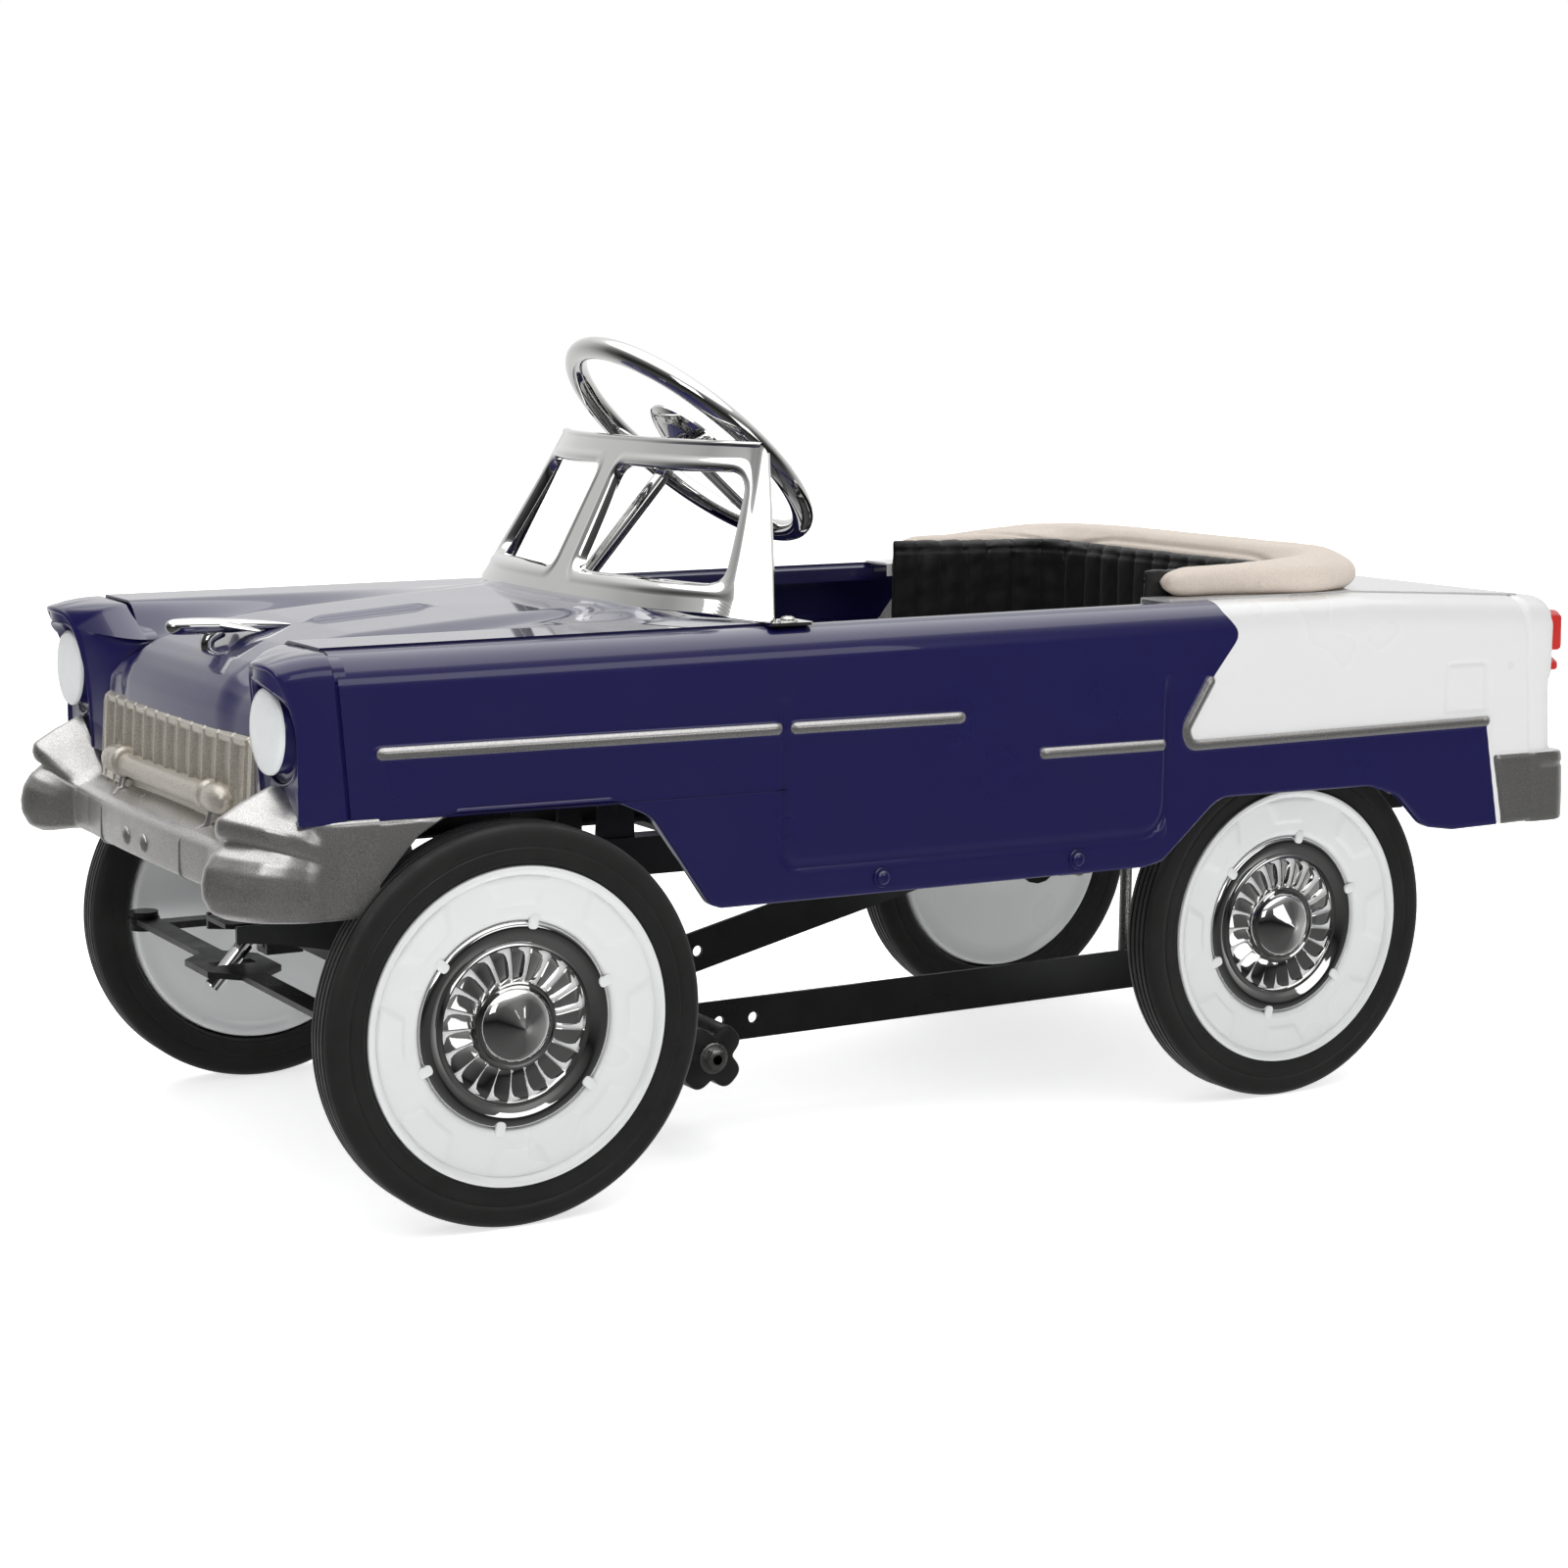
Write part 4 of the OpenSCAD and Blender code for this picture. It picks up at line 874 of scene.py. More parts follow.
def front_pieces():
    for side, name in ((1, "left"), (-1, "right")):
        piece(f"{name}_nacelle", sided(nacelle(), side), "car", LOOKS["navy"],
              thick=1.2, angle=50, outward=False)
        piece(f"{name}_lamp", sided(lamp(), side), "car", LOOKS["lamp"], angle=50,
              replaces="headlamps" if side > 0 else ())
    piece("front_bumper", bumper(), "car", LOOKS["silver"], replaces="front_clip",
          thick=1.6, angle=60, outward=False)
    piece("bumper_fittings", bumper_fittings(), "car", LOOKS["silver"], angle=45)
    piece("grille_panel", grille(), "car", LOOKS["champagne"], replaces="grille",
          thick=0.9, angle=50, outward=False)
    piece("grille_cross_bar", grille_bar(), "car", LOOKS["champagne"], angle=50)
    piece("ornament", ornament(), "car", LOOKS["chrome"], replaces="hood_ornament",
          subdivide=1, angle=60)


# ---- hood ornament ----

ORNAMENT_Z = 358.0


def ornament():
    """A dart over the nose: blunt front, pointed tail, two swept wings and a hooked stem."""
    ys = [-493, -492, -489, -482, -470, -455, -440, -425, -412, -405]
    wide = [0.3, 3.8, 6.0, 7.4, 8.0, 7.6, 6.2, 4.2, 2.0, 0.3]
    tall = [0.3, 3.6, 5.2, 5.6, 5.6, 5.2, 4.4, 3.2, 1.8, 0.3]
    lift = [0, 0, 0, 0, 0, -0.3, -0.6, -1.0, -1.4, -1.6]
    unit = circle(1.0, 20)
    dart = sweep([[(w * a, y, ORNAMENT_Z + up + h * b) for a, b in unit]
                  for y, w, h, up in zip(ys, wide, tall, lift)])
    parts = [dart]
    for s in (-1, 1):
        rings = []
        for t in np.linspace(0, 1, 12):
            x, chord = 3 + 23 * t, 15 * (1 - t) ** 0.6 + 2.0
            y, z = -464 + 24 * t, ORNAMENT_Z + 0.5 - 3.0 * t
            thick = 2.2 * (1 - t) + 0.6
            rings.append([(s * x, y + chord * (0.5 + 0.5 * a), z + thick * b) for a, b in circle(1.0, 16)])
        parts.append(sweep(rings))
    stem = [(0, -454, ORNAMENT_Z - 3), (0, -465, ORNAMENT_Z - 8), (0, -465, ORNAMENT_Z - 17),
            (0, -456, 334)]
    parts.append(tube(resample(rounded(stem, [0, 9, 7, 0], closed=False), 18), 4.8, 16))
    return joined(parts)


# ---- windscreen ----

SCREEN_LOW, SCREEN_TOP = 370.5, node_box("windscreen_frame")[1][2]
PANE = [(0.07, 0.145), (0.862, 0.145), (0.922, 0.845), (0.07, 0.845)]


def screen_point(across, up, out=0.0):
    """A place on the windscreen: across runs from 0 to 1 at a post, up from 0 at the foot to 1."""
    across, up = np.asarray(across, float), np.asarray(up, float)
    k = np.abs(across)
    x = (209 - 62 * up) * across
    foot_y, top_y = -217 + 57 * k ** 3.4, -162 + 32 * k ** 2.6
    y = foot_y + (top_y - foot_y) * up
    foot_z = SCREEN_LOW - 4.0 * smooth(0.8, 1.0, k)
    z = foot_z + (SCREEN_TOP - foot_z) * up
    out = out + 3.2 * (1 - 0.4 * up) * hump(k - 0.90 - 0.085 * up, 0.05)
    turn = 0.75 * k ** 2.4
    return np.stack(np.broadcast_arrays(x + np.sign(across) * out * np.sin(turn), y - out * np.cos(turn),
                                        z), axis=-1)


def windscreen():
    """One pressed band with two panes, their lips folded in, and a slightly crowned surface."""
    parts = []
    aspect = np.array([180.0, 115.0])
    for s in (-1, 1):
        pane = rounded(np.array(PANE) * aspect, [13, 16, 15, 13], steps=10) / aspect
        pane = resample(pane * aspect, 168, closed=True) / aspect
        outline = rounded(np.array([(0, 0), (1, 0), (1, 1), (0, 1)]) * aspect, [0, 2, 8, 0],
                          steps=6) / aspect
        outer = resample(outline * aspect, 168, closed=True) / aspect
        centre = pane.mean(axis=0)
        bearing = [np.arctan2(*((p - centre) * aspect).T[::-1]) for p in (pane, outer)]
        order = [np.argsort(b) for b in bearing]
        pane = pane[order[0]]
        outer = np.stack([np.interp(bearing[0][order[0]], bearing[1][order[1]], outer[order[1], i],
                                    period=2 * math.pi) for i in (0, 1)], axis=1)
        toward = (centre - pane) * aspect
        toward /= np.linalg.norm(toward, axis=1)[:, None]
        rows = []
        for fold, out in ((2.6, -7.0), (1.9, -3.2), (0.9, -0.9), (0.0, 0.0)):
            shape = pane + toward * fold / aspect
            rows.append(screen_point(s * shape[:, 0], shape[:, 1], out))
        for t in np.linspace(0, 1, 12)[1:]:
            shape = pane * (1 - t) + outer * t
            rows.append(screen_point(s * shape[:, 0], shape[:, 1],
                                     1.0 * math.sin(math.pi * min(1, 3 * t))))
        rows = np.array(rows)
        parts.append(sweep(rows[:, ::s], caps=False))
    return joined(parts)


def screen_edges():
    """Rolled top edge, folded rear posts and the two feet that stand on the shoulders."""
    top = screen_point(np.linspace(-0.97, 0.97, 90), np.full(90, 0.99)) + (0, 0.8, 0)
    parts = [tube(top, 1.7, 12)]
    for s in (-1, 1):
        post = screen_point(np.full(30, s * 1.0), np.linspace(0.0, 0.95, 30))
        strip = np.stack([post, post + (-s * 2.5, 3.0, 0), post + (-s * 6.0, 3.6, 0),
                          post + (-s * 9.0, 2.4, 0)], axis=1)
        parts.append((strip.reshape(-1, 3), grid_faces(30, 4)))
        foot = rounded([(s * 186, -164), (s * 213, -164), (s * 213, -132), (s * 186, -132)], 4)
        parts.append(prism(foot, 2, 364.9, 366.9))
    return joined(parts)


def screw(at, axis_turn=(0, 0, 0), size=1.0):
    """A pan-head screw with a cross recess, on a washer."""
    washer = lathe([(0.01, 0), (6.6, 0), (6.8, 0.5), (6.4, 1.1), (0.01, 1.1)], 36)
    head = lathe([(0.01, 1.1), (4.6, 1.1), (4.7, 2.0), (4.0, 3.1), (2.6, 3.7), (0.9, 3.9), (0.01, 3.9)],
                 36)
    cross = [block((3.2, -2.2, -0.35), (3.95, 2.2, 0.35)), block((3.2, -0.35, -2.2), (3.95, 0.35, 2.2))]
    part = joined([washer, head, *cross])
    part = (np.asarray(part[0]) * size, part[1])
    return moved(moved(part, turn=axis_turn), at)


def windscreen_pieces():
    piece("windscreen", joined([windscreen(), screen_edges()]), "car", LOOKS["chrome"],
          replaces="windscreen_frame", thick=1.0, angle=50, outward=False)
    piece("screen_screws", joined([screw((s * 204, -147, 366.6), (0, -90, 0)) for s in (-1, 1)]), "car",
          LOOKS["zinc"], replaces="windscreen_screws", angle=35)
    side_screws = [screw((s * (HALF_W + 0.5), y, 197), (0, 0, 0 if s > 0 else 180))
                   for s in (-1, 1) for y in (-83, 75)]
    piece("sill_bolts", joined(side_screws), "car", LOOKS["navy"], replaces="body_bolts",
          angle=35)


# ---- steering ----

COLUMN = np.array([0.0, math.cos(math.radians(49)), math.sin(math.radians(49))])
ACROSS = np.array([1.0, 0.0, 0.0])
UP_WHEEL = np.cross(COLUMN, ACROSS)
WHEEL_R = 97.8


def on_column(part):
    """Puts a part drawn round the Z axis on the steering wheel's centre, square to the column."""
    points = np.asarray(part[0], float)
    return points[:, :1] * ACROSS - points[:, 1:2] * UP_WHEEL + points[:, 2:] * COLUMN + WHEEL_HUB, part[1]


def steering_wheel():
    angle = np.arange(144) * 2 * math.pi / 144
    rim = tube(np.stack([WHEEL_R * np.cos(angle), WHEEL_R * np.sin(angle), 0 * angle], axis=1), 7.6, 24,
               closed=True)
    dish = [(0.01, -4.5), (12, -4.5), (20, -2.5), (29, 1.6), (33, 4.2), (34.5, 3.4), (34.6, 1.8),
            (31, -1.2), (22, -6.0), (15, -9.0), (14, -16), (0.01, -16)]
    parts = [rim, moved(lathe(dish, 96), turn=(0, -90, 0))]
    for a in (180, 270, 360):
        for s in (-1, 1):
            rings = []
            for t in np.linspace(0, 1, 16):
                r = 18 + (WHEEL_R - 20) * t
                width = 3.4 + 2.8 * smooth(0.75, 1, t) + 0.8 * smooth(0.25, 0, t)
                offset = s * (4.2 + 3.0 * smooth(0.7, 1, t))
                drop = -6.0 + 4.5 * smooth(0.55, 1, t)
                rings.append([(r, offset + width * y, drop + 2.4 * z) for y, z in circle(1.0, 14)])
            parts.append(moved(sweep(rings), turn=(0, 0, a)))
        web = [(20, 0), (WHEEL_R - 3, 0)]
        parts.append(moved(block((web[0][0], -4.5, -7.2), (web[1][0], 4.5, -5.4)), turn=(0, 0, a)))
    return on_column(joined(parts))


def hub_nut():
    """Domed centre with a hexagon nut on it."""
    dome = moved(lathe([(0.01, 4.5), (3, 4.3), (8, 3.0), (11.5, 0.6), (12.5, -2.0), (12.6, -4.5),
                        (0.01, -4.5)], 60), turn=(0, -90, 0))
    nut = prism(circle(7.4, 6), 2, 3.4, 9.4)
    tip = moved(lathe([(0.01, 12.4), (3.2, 12.2), (3.8, 11.4), (3.8, 9.2), (0.01, 9.2)], 32),
                turn=(0, -90, 0))
    return on_column(joined([dome, nut, tip]))


def steering_pieces():
    piece("steering_wheel_look", steering_wheel(), "steering", LOOKS["chrome"],
          replaces="steering_wheel", angle=45)
    piece("steering_hub", hub_nut(), "steering", LOOKS["chrome"], replaces="steering_wheel_nut",
          bevel=0.5, angle=35)


# ---- rear deck and tail ----

WELL_X, WELL_REAR, WELL_R, WELL_FRONT = 168.0, 321.0, 90.0, 165.0
TAIL_CORNER = 16.0


def well_line(grow, count, front=WELL_FRONT):
    """The seat opening's U in plan, from the left front end round the back to the right front end."""
    x, y = WELL_X + grow, WELL_REAR + grow
    line = rounded([(x, front), (x, y), (-x, y), (-x, front)], [0, WELL_R + grow, WELL_R + grow, 0], 24,
                   False)
    return resample(line, count)


def rear_deck():
    inner = well_line(0, 181)
    outer = resample([(COCKPIT_X, WELL_FRONT), (COCKPIT_X, REAR_SEAM + 4), (-COCKPIT_X, REAR_SEAM + 4),
                      (-COCKPIT_X, WELL_FRONT)], 181)
    rows = []
    for t in np.linspace(0, 1, 14):
        p = inner * (1 - t) + outer * t
        rows.append(np.column_stack([p, belt(p[:, 1]) - 0.4]))
    lip = np.column_stack([inner, belt(inner[:, 1]) - 9])
    rows = np.array([lip] + rows)
    return rows.reshape(-1, 3), grid_faces(*rows.shape[:2])


TAIL_FACE = np.array([(193, 532.5), (197, 533.5), (214, 533.2), (240, 531.5), (245, 530.5), (246.2, 528.5),
                      (246.8, 520.5), (250, 518.6), (280, 516.4), (310, 516), (335, 517.5), (350, 518.5)])


def tail():
    """Rear clip: white above, a proud silver bumper below, rounded corners and a rolled lower edge."""
    zs = [196, 193.4, 193.2, 194.2, 197, 203, 209, 214, 220, 226, 230, 232.5, 234, 236, 238, 239.5, 242,
          244.6, 245.8, 246.3, 246.7, 247.4, 249, 252, 258, 266, 276, 288, 300]
    insets = [5, 2.4, 0.8] + [0] * (len(zs) - 3)
    rows = [(z, inset, None) for z, inset in zip(zs, insets)]
    rows += [(None, 0, ("side", t)) for t in np.linspace(0, 1, 8)[1:]]
    rows += [(None, 0, ("arc", a)) for a in np.radians(np.linspace(0, 90, 10)[1:])]
    rows += [(None, 0, ("top", t)) for t in (6, 14, 24, 34)]
    count = 91
    made = []
    for z, inset, rule in rows:
        kind, value = rule or ("flat", 0)
        level = z if z is not None else 350.0
        arc_in = 1 - math.cos(value) if kind == "arc" else (1.0 if kind == "top" else 0.0)
        more = value if kind == "top" else 0.0
        proud = 2.2 * (1 - float(smooth(245.4, 247.0, level)))
        back = float(np.interp(level, TAIL_FACE[:, 0], TAIL_FACE[:, 1])) - inset - 9 * arc_in - more
        width = HALF_W + proud - inset - SHOULDER * arc_in - more
        seam = float(rear_seam(level)) + 0.4
        corner = max(TAIL_CORNER - 0.3 * SHOULDER * arc_in, 8)
        line = rounded([(width, seam - 5), (width, back), (0, back)], [0, corner, 0], 10, closed=False)
        path = resample(line, count)
        t = smooth(HALF_W - 50, HALF_W - 8, path[:, 0])
        radius = 9 + (SHOULDER - 9) * t
        high = belt(path[:, 1])
        if kind == "side":
            height = 300 + (high - radius - 300) * value
        elif kind == "arc":
            height = high - radius * (1 - math.sin(value))
        elif kind == "top":
            height = high
        else:
            height = np.full(count, level)
        joggle = 1 - smooth(seam - 1.0, seam + 2.0, path[:, 1])
        path[:, 0] -= 1.8 * joggle
        height = height - (1.8 * joggle if kind in ("arc", "top") else 0)
        slot = (hump(height - 236, 2.6) * smooth(499, 503, path[:, 1])
                * smooth(HALF_W - 8, HALF_W - 2, path[:, 0]))
        path[:, 0] -= 1.4 * slot
        half = np.column_stack([path, height])
        made.append(np.concatenate([half, (half * (-1, 1, 1))[-2::-1]]))
    made = np.array(made)
    edges = {"white_edge": np.full(made.shape[:2], 9.0),
             "silver_edge": REAR_BUMPER_TOP + 0.5 - made[..., 2]}
    return (made.reshape(-1, 3), grid_faces(*made.shape[:2])), edges


def tail_lens(z0, z1, out):
    """A red lens on the tail's corner, its face leaning with the tail."""
    outline = rounded([(HALF_W - 23, z0), (HALF_W - 2.5, z0 + 1), (HALF_W - 2.5, z1 - 4), (HALF_W - 8, z1),
                       (HALF_W - 20, z1)], [3, 2, 4, 4, 4], 5)
    rings = []
    for grow, y in ((0, 509), (0, 517 + out), (-1.0, 519.4 + out), (-2.8, 520.6 + out), (-6, 521.0 + out)):
        centre = outline.mean(axis=0)
        reach = np.linalg.norm(outline - centre, axis=1)[:, None]
        shape = centre + (outline - centre) * (reach + grow) / reach
        rings.append(np.column_stack([shape[:, 0], np.full(len(shape), y), shape[:, 1]]))
    return sweep(rings)


def rear_pieces():
    piece("deck_panel", rear_deck(), "car", LOOKS["white"], replaces="rear_deck",
          thick=SHEET, angle=50, outward=False)
    part, edges = tail()
    piece("tail_panel", part, "car", LOOKS["body"], replaces="rear_clip", thick=SHEET,
          angle=40, outward=False, attributes=edges)
    lenses = [sided(tail_lens(*size), s) for s in (1, -1) for size in ((321, 352, 2.5), (306, 317, 0.5))]
    piece("tail_lights", joined(lenses), "car", LOOKS["red"], replaces="tail_lenses", angle=40)


# ---- soft goods ----


def ripple(points, size, seed):
    """Smooth random unevenness between -1 and 1 with waves of about size millimetres."""
    rng = np.random.default_rng(seed)
    total = np.zeros(len(points))
    for _ in range(7):
        direction = rng.normal(size=3)
        direction /= np.linalg.norm(direction)
        wave = size * rng.uniform(0.6, 1.6)
        total += np.sin(points @ direction * 2 * math.pi / wave + rng.uniform(0, 6.28))
    return total / 7


def stuffed(name, part, body, material, replaces, voxel, cap, detail, pressure=4.0):
    """A padded piece: its shell is blown up as cloth, then detail() moves it along the normals."""
    mesh = bpy.data.meshes.new(name)
    mesh.from_pydata((np.asarray(part[0], float) * MM).tolist(), [], [list(f) for f in part[1]])
    obj = bpy.data.objects.new(name, mesh)
    SCENE.collection.objects.link(obj)
    tidy_mesh(obj)
    remesh = obj.modifiers.new("skin", "REMESH")
    remesh.mode, remesh.voxel_size = "VOXEL", voxel * MM
    relax = obj.modifiers.new("relax", "SMOOTH")
    relax.factor, relax.iterations = 0.5, 4
    bake_modifiers(obj)
    count = len(obj.data.vertices)
    rest = np.zeros(count * 3)
    obj.data.vertices.foreach_get("co", rest)
    cloth = obj.modifiers.new("air", "CLOTH")
    cloth.settings.use_pressure = True
    cloth.settings.uniform_pressure_force = pressure
    cloth.settings.effector_weights.gravity = 0.0
    cloth.settings.quality = 5
    cloth.settings.mass = 0.25
    cloth.settings.tension_stiffness = cloth.settings.compression_stiffness = 20
    cloth.settings.bending_stiffness = 0.6
    cloth.point_cache.frame_start, cloth.point_cache.frame_end = 1, 20
    for number in range(1, 21):
        SCENE.frame_set(number)
    moved_to = np.zeros(count * 3)
    obj.evaluated_get(bpy.context.evaluated_depsgraph_get()).data.vertices.foreach_get("co", moved_to)
    obj.modifiers.clear()
    SCENE.frame_set(1)
    shift = (moved_to - rest).reshape(-1, 3)
    shift -= shift.mean(axis=0)
    length = np.linalg.norm(shift, axis=1)[:, None] + 1e-9
    shift *= np.minimum(1.0, cap * MM / length)
    obj.data.vertices.foreach_set("co", (rest.reshape(-1, 3) + shift).ravel())
    finer = obj.modifiers.new("finer", "SUBSURF")
    finer.levels = finer.render_levels = 1
    bake_modifiers(obj)
    points = np.zeros(len(obj.data.vertices) * 3)
    normals = np.zeros_like(points)
    obj.data.vertices.foreach_get("co", points)
    obj.data.vertices.foreach_get("normal", normals)
    points, normals = points.reshape(-1, 3) / MM, normals.reshape(-1, 3)
    points = points + normals * detail(points, normals)[:, None]
    obj.data.vertices.foreach_set("co", (points * MM).ravel())
    obj.data.update()
    shade(obj, 180)
    obj.data.materials.clear()
    obj.data.materials.append(material)
    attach(obj, body)
    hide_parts(replaces)
    return obj


BOOT_FRONT = 178.0


def boot():
    """The cream padded roll on the deck round the seat opening: slim arms, a wide back."""
    inner = well_line(-2, 150, BOOT_FRONT)
    tangent = np.gradient(inner, axis=0)
    tangent /= np.linalg.norm(tangent, axis=1)[:, None]
    normal = np.stack([tangent[:, 1], -tangent[:, 0]], axis=1)
    if normal[0, 0] < 0:
        normal = -normal
    back = smooth(215, 325, inner[:, 1])
    rings = []
    for i, (p, n) in enumerate(zip(inner, normal)):
        end = min(i, len(inner) - 1 - i)
        blunt = math.sqrt(1 - (1 - min(end / 5.0, 1)) ** 2) if end < 5 else 1.0
        blunt = max(blunt, 0.25)
        half_width = (12.5 + 20 * back[i]) * (0.45 + 0.55 * blunt)
        half_height = (11.0 + 2.0 * back[i]) * blunt
        centre = p + n * (12.5 + 20 * back[i])
        z = float(belt(p[1])) + 11.0 + 1.0 * back[i]
        ring = []
        for a, b in circle(1.0, 28):
            a, b = np.sign(a) * abs(a) ** 0.8, np.sign(b) * abs(b) ** 0.8
            flat = centre + n * a * half_width
            ring.append((flat[0], flat[1], z + b * half_height))
        rings.append(ring)
    return sweep(rings)


def boot_detail(points, normals):
    out = 0.5 * ripple(points, 45, 4) + 0.25 * ripple(points, 14, 5)
    u = well_distance(points)
    out -= 1.6 * hump(u - 6.5, 2.2) * (normals[:, 2] > 0.2)
    return out


def well_distance(points):
    """How far each point lies outside the seat opening's edge."""
    line = well_line(0, 400, 120)
    d = np.full(len(points), 1e9)
    for i in range(0, len(line) - 1):
        a, b = line[i], line[i + 1]
        ab = b - a
        t = np.clip(((points[:, :2] - a) @ ab) / (ab @ ab), 0, 1)
        d = np.minimum(d, np.linalg.norm(points[:, :2] - a - t[:, None] * ab, axis=1))
    inner = np.abs(points[:, 0]) < WELL_X
    inner &= points[:, 1] < WELL_REAR
    corner_x, corner_y = np.abs(points[:, 0]) - (WELL_X - WELL_R), points[:, 1] - (WELL_REAR - WELL_R)
    inner &= ~((corner_x > 0) & (corner_y > 0) & (np.hypot(corner_x, corner_y) > WELL_R))
    return np.where(inner, -d, d)


LINING_LOW, LINING_TOP = node_box("cockpit_lining")[0][2], 389.0
PLEAT = 22.0


def lining():
    outer, inner = well_line(-2.2, 200, 166), well_line(-11, 200, 166)
    rings = []
    for i, (a, b) in enumerate(zip(outer, inner)):
        end = min(i, len(outer) - 1 - i)
        thin = 0.35 + 0.65 * min(1, end / 4.0)
        b = a + (b - a) * thin
        outline = np.array([(0, LINING_LOW + 2), (0.3, LINING_LOW), (0.75, LINING_LOW),
                            (1, LINING_LOW + 3)]
                           + [(1, z) for z in np.linspace(LINING_LOW + 12, LINING_TOP - 10, 12)]
                           + [(0.95, LINING_TOP - 4), (0.7, LINING_TOP), (0.3, LINING_TOP),
                              (0, LINING_TOP - 3)]
                           + [(0, z) for z in np.linspace(LINING_TOP - 10, LINING_LOW + 12, 12)])
        rings.append([(a[0] + (b[0] - a[0]) * s, a[1] + (b[1] - a[1]) * s, z) for s, z in outline])
    return sweep(rings)


def along_well(points):
    """How far round the U each point is, in millimetres from its middle."""
    line = well_line(-8, 600, 120)
    s = np.concatenate([[0], np.cumsum(np.linalg.norm(np.diff(line, axis=0), axis=1))])
    s -= s[-1] / 2
    out = np.empty(len(points))
    for start in range(0, len(points), 4000):
        chunk = points[start:start + 4000, None, :2] - line[None]
        out[start:start + 4000] = s[np.argmin((chunk ** 2).sum(axis=2), axis=1)]
    return out


def lining_detail(points, normals):
    s = along_well(points)
    phase = (s + PLEAT / 2) % PLEAT - PLEAT / 2
    seam = PLEAT / 2 - np.abs(phase)
    inward = smooth(-0.2, 0.4, -(normals[:, :2] * np.sign(points[:, :2] - (0, 150))).sum(axis=1))
    below = smooth(LINING_TOP + 2, LINING_TOP - 12, points[:, 2])
    out = (2.6 * np.sqrt(np.clip(1 - (phase / (PLEAT / 2)) ** 2, 0, 1)) - 1.8) * (0.35 + 0.65 * below)
    out -= 1.2 * hump(seam, 1.6)
    out *= np.where(inward > 0.5, 1.0, 0.25)
    out -= 1.3 * hump(points[:, 2] - (LINING_TOP - 9), 2.0) * (inward > 0.5)
    return out + 0.5 * ripple(points, 30, 8) + 0.3 * ripple(points, 11, 9)


SEAT_LO, SEAT_HI = node_box("seat_cushion")
HALF_CUSHION = 135.0
HALF_CUSHION_DEPTH = 136.0


def cushion():
    (x0, y0, z0), (x1, y1, z1) = SEAT_LO + (4, 4, 1), SEAT_HI - (4, 4, 2)
    rings = []
    for inset, z in ((10, z0), (3, z0 + 3), (0, z0 + 9), (0, z1 - 12), (3, z1 - 5), (12, z1 - 1),
                     (40, z1 + 2), (90, z1 + 4)):
        radius = max(26 - inset, 8)
        corners = [(x0 + inset, y0 + inset), (x1 - inset, y0 + inset), (x1 - inset, y1 - inset),
                   (x0 + inset, y1 - inset)]
        rings.append(np.column_stack([resample(rounded(corners, radius), 96, closed=True),
                                      np.full(96, z)]))
    return sweep(rings)


def cushion_detail(points, normals):
    middle = SEAT_LO[1] + HALF_CUSHION_DEPTH
    edge = np.minimum(HALF_CUSHION - np.abs(points[:, 0]),
                      HALF_CUSHION_DEPTH - np.abs(points[:, 1] - middle))
    out = (1.8 * hump(edge - 9, 2.6) - 1.0 * hump(edge - 13, 2.0)) * (normals[:, 2] > 0.3)
    pleat = (points[:, 0] + 15) % 30 - 15
    top = (normals[:, 2] > 0.5) & (edge > 20)
    out += np.where(top, 2.4 * np.sqrt(np.clip(1 - (pleat / 15) ** 2, 0, 1)) - 2.0, 0.0)
    return out + 0.4 * ripple(points, 30, 12)


def soft_pieces():
    stuffed("boot_roll", boot(), "car", LOOKS["cream"], "boot_cover", 5.0, 4.0, boot_detail)
    stuffed("lining_pad", lining(), "car", LOOKS["vinyl"], "cockpit_lining", 4.0, 1.5,
            lining_detail, pressure=1.5)
    stuffed("cushion_pad", cushion(), "car", LOOKS["vinyl"], "seat_cushion", 6.0, 4.0,
            cushion_detail)


# ---- wheels ----

TYRE_R, RIM_R, CAP_R = 127.0, 100.0, 64.5
FINS = 21


def tyre():
    tread = [(-15, 121), (-14.4, 123.6), (-12.9, 125.6), (-10.8, 126.6)]
    for x in (-7.5, -2.5, 2.5, 7.5):
        tread += [(x - 1.0, TYRE_R), (x - 0.7, TYRE_R - 1.8), (x + 0.7, TYRE_R - 1.8), (x + 1.0, TYRE_R)]
    tread += [(10.8, 126.6), (12.9, 125.6), (14.4, 123.6), (15, 121)]
    wall = [(15.0, 117), (14.7, 113.5), (14.3, 113), (14.3, 112), (14.7, 111.5), (14.3, 107), (13.6, 104),
            (13.6, 103), (13.0, 102.6), (12.6, 101.2), (12.0, 100.3), (11.0, 99.6)]
    profile = [(r, -x) for x, r in wall[::-1]] + [(r, x) for x, r in tread] + [(r, x) for x, r in wall]
    return lathe(profile, 180)


def wheel_grid(profile, count, relief):
    """A turned skin whose outward position may also change round the wheel."""
    profile = np.array(profile, float)
    a = np.arange(count) * 2 * math.pi / count
    r = np.tile(profile[:, 0], (count, 1))
    x = np.tile(profile[:, 1], (count, 1)) + relief(np.tile(a[:, None], (1, len(profile))), r)
    pts = np.stack([x, r * np.cos(a)[:, None], r * np.sin(a)[:, None]], axis=2)
    return pts.reshape(-1, 3), grid_faces(count, len(profile), wrap_rows=True)


def pads(a, r):
    """Eight raised trapezoids round the outer part of the disc."""
    pitch = math.pi / 4
    phase = np.abs((a + pitch / 2) % pitch - pitch / 2) * r
    half = 14 + (r - 78) * 0.55
    return 1.2 * smooth(0, 3.0, half - phase) * smooth(75.5, 78.5, r) * smooth(95.0, 92.0, r)


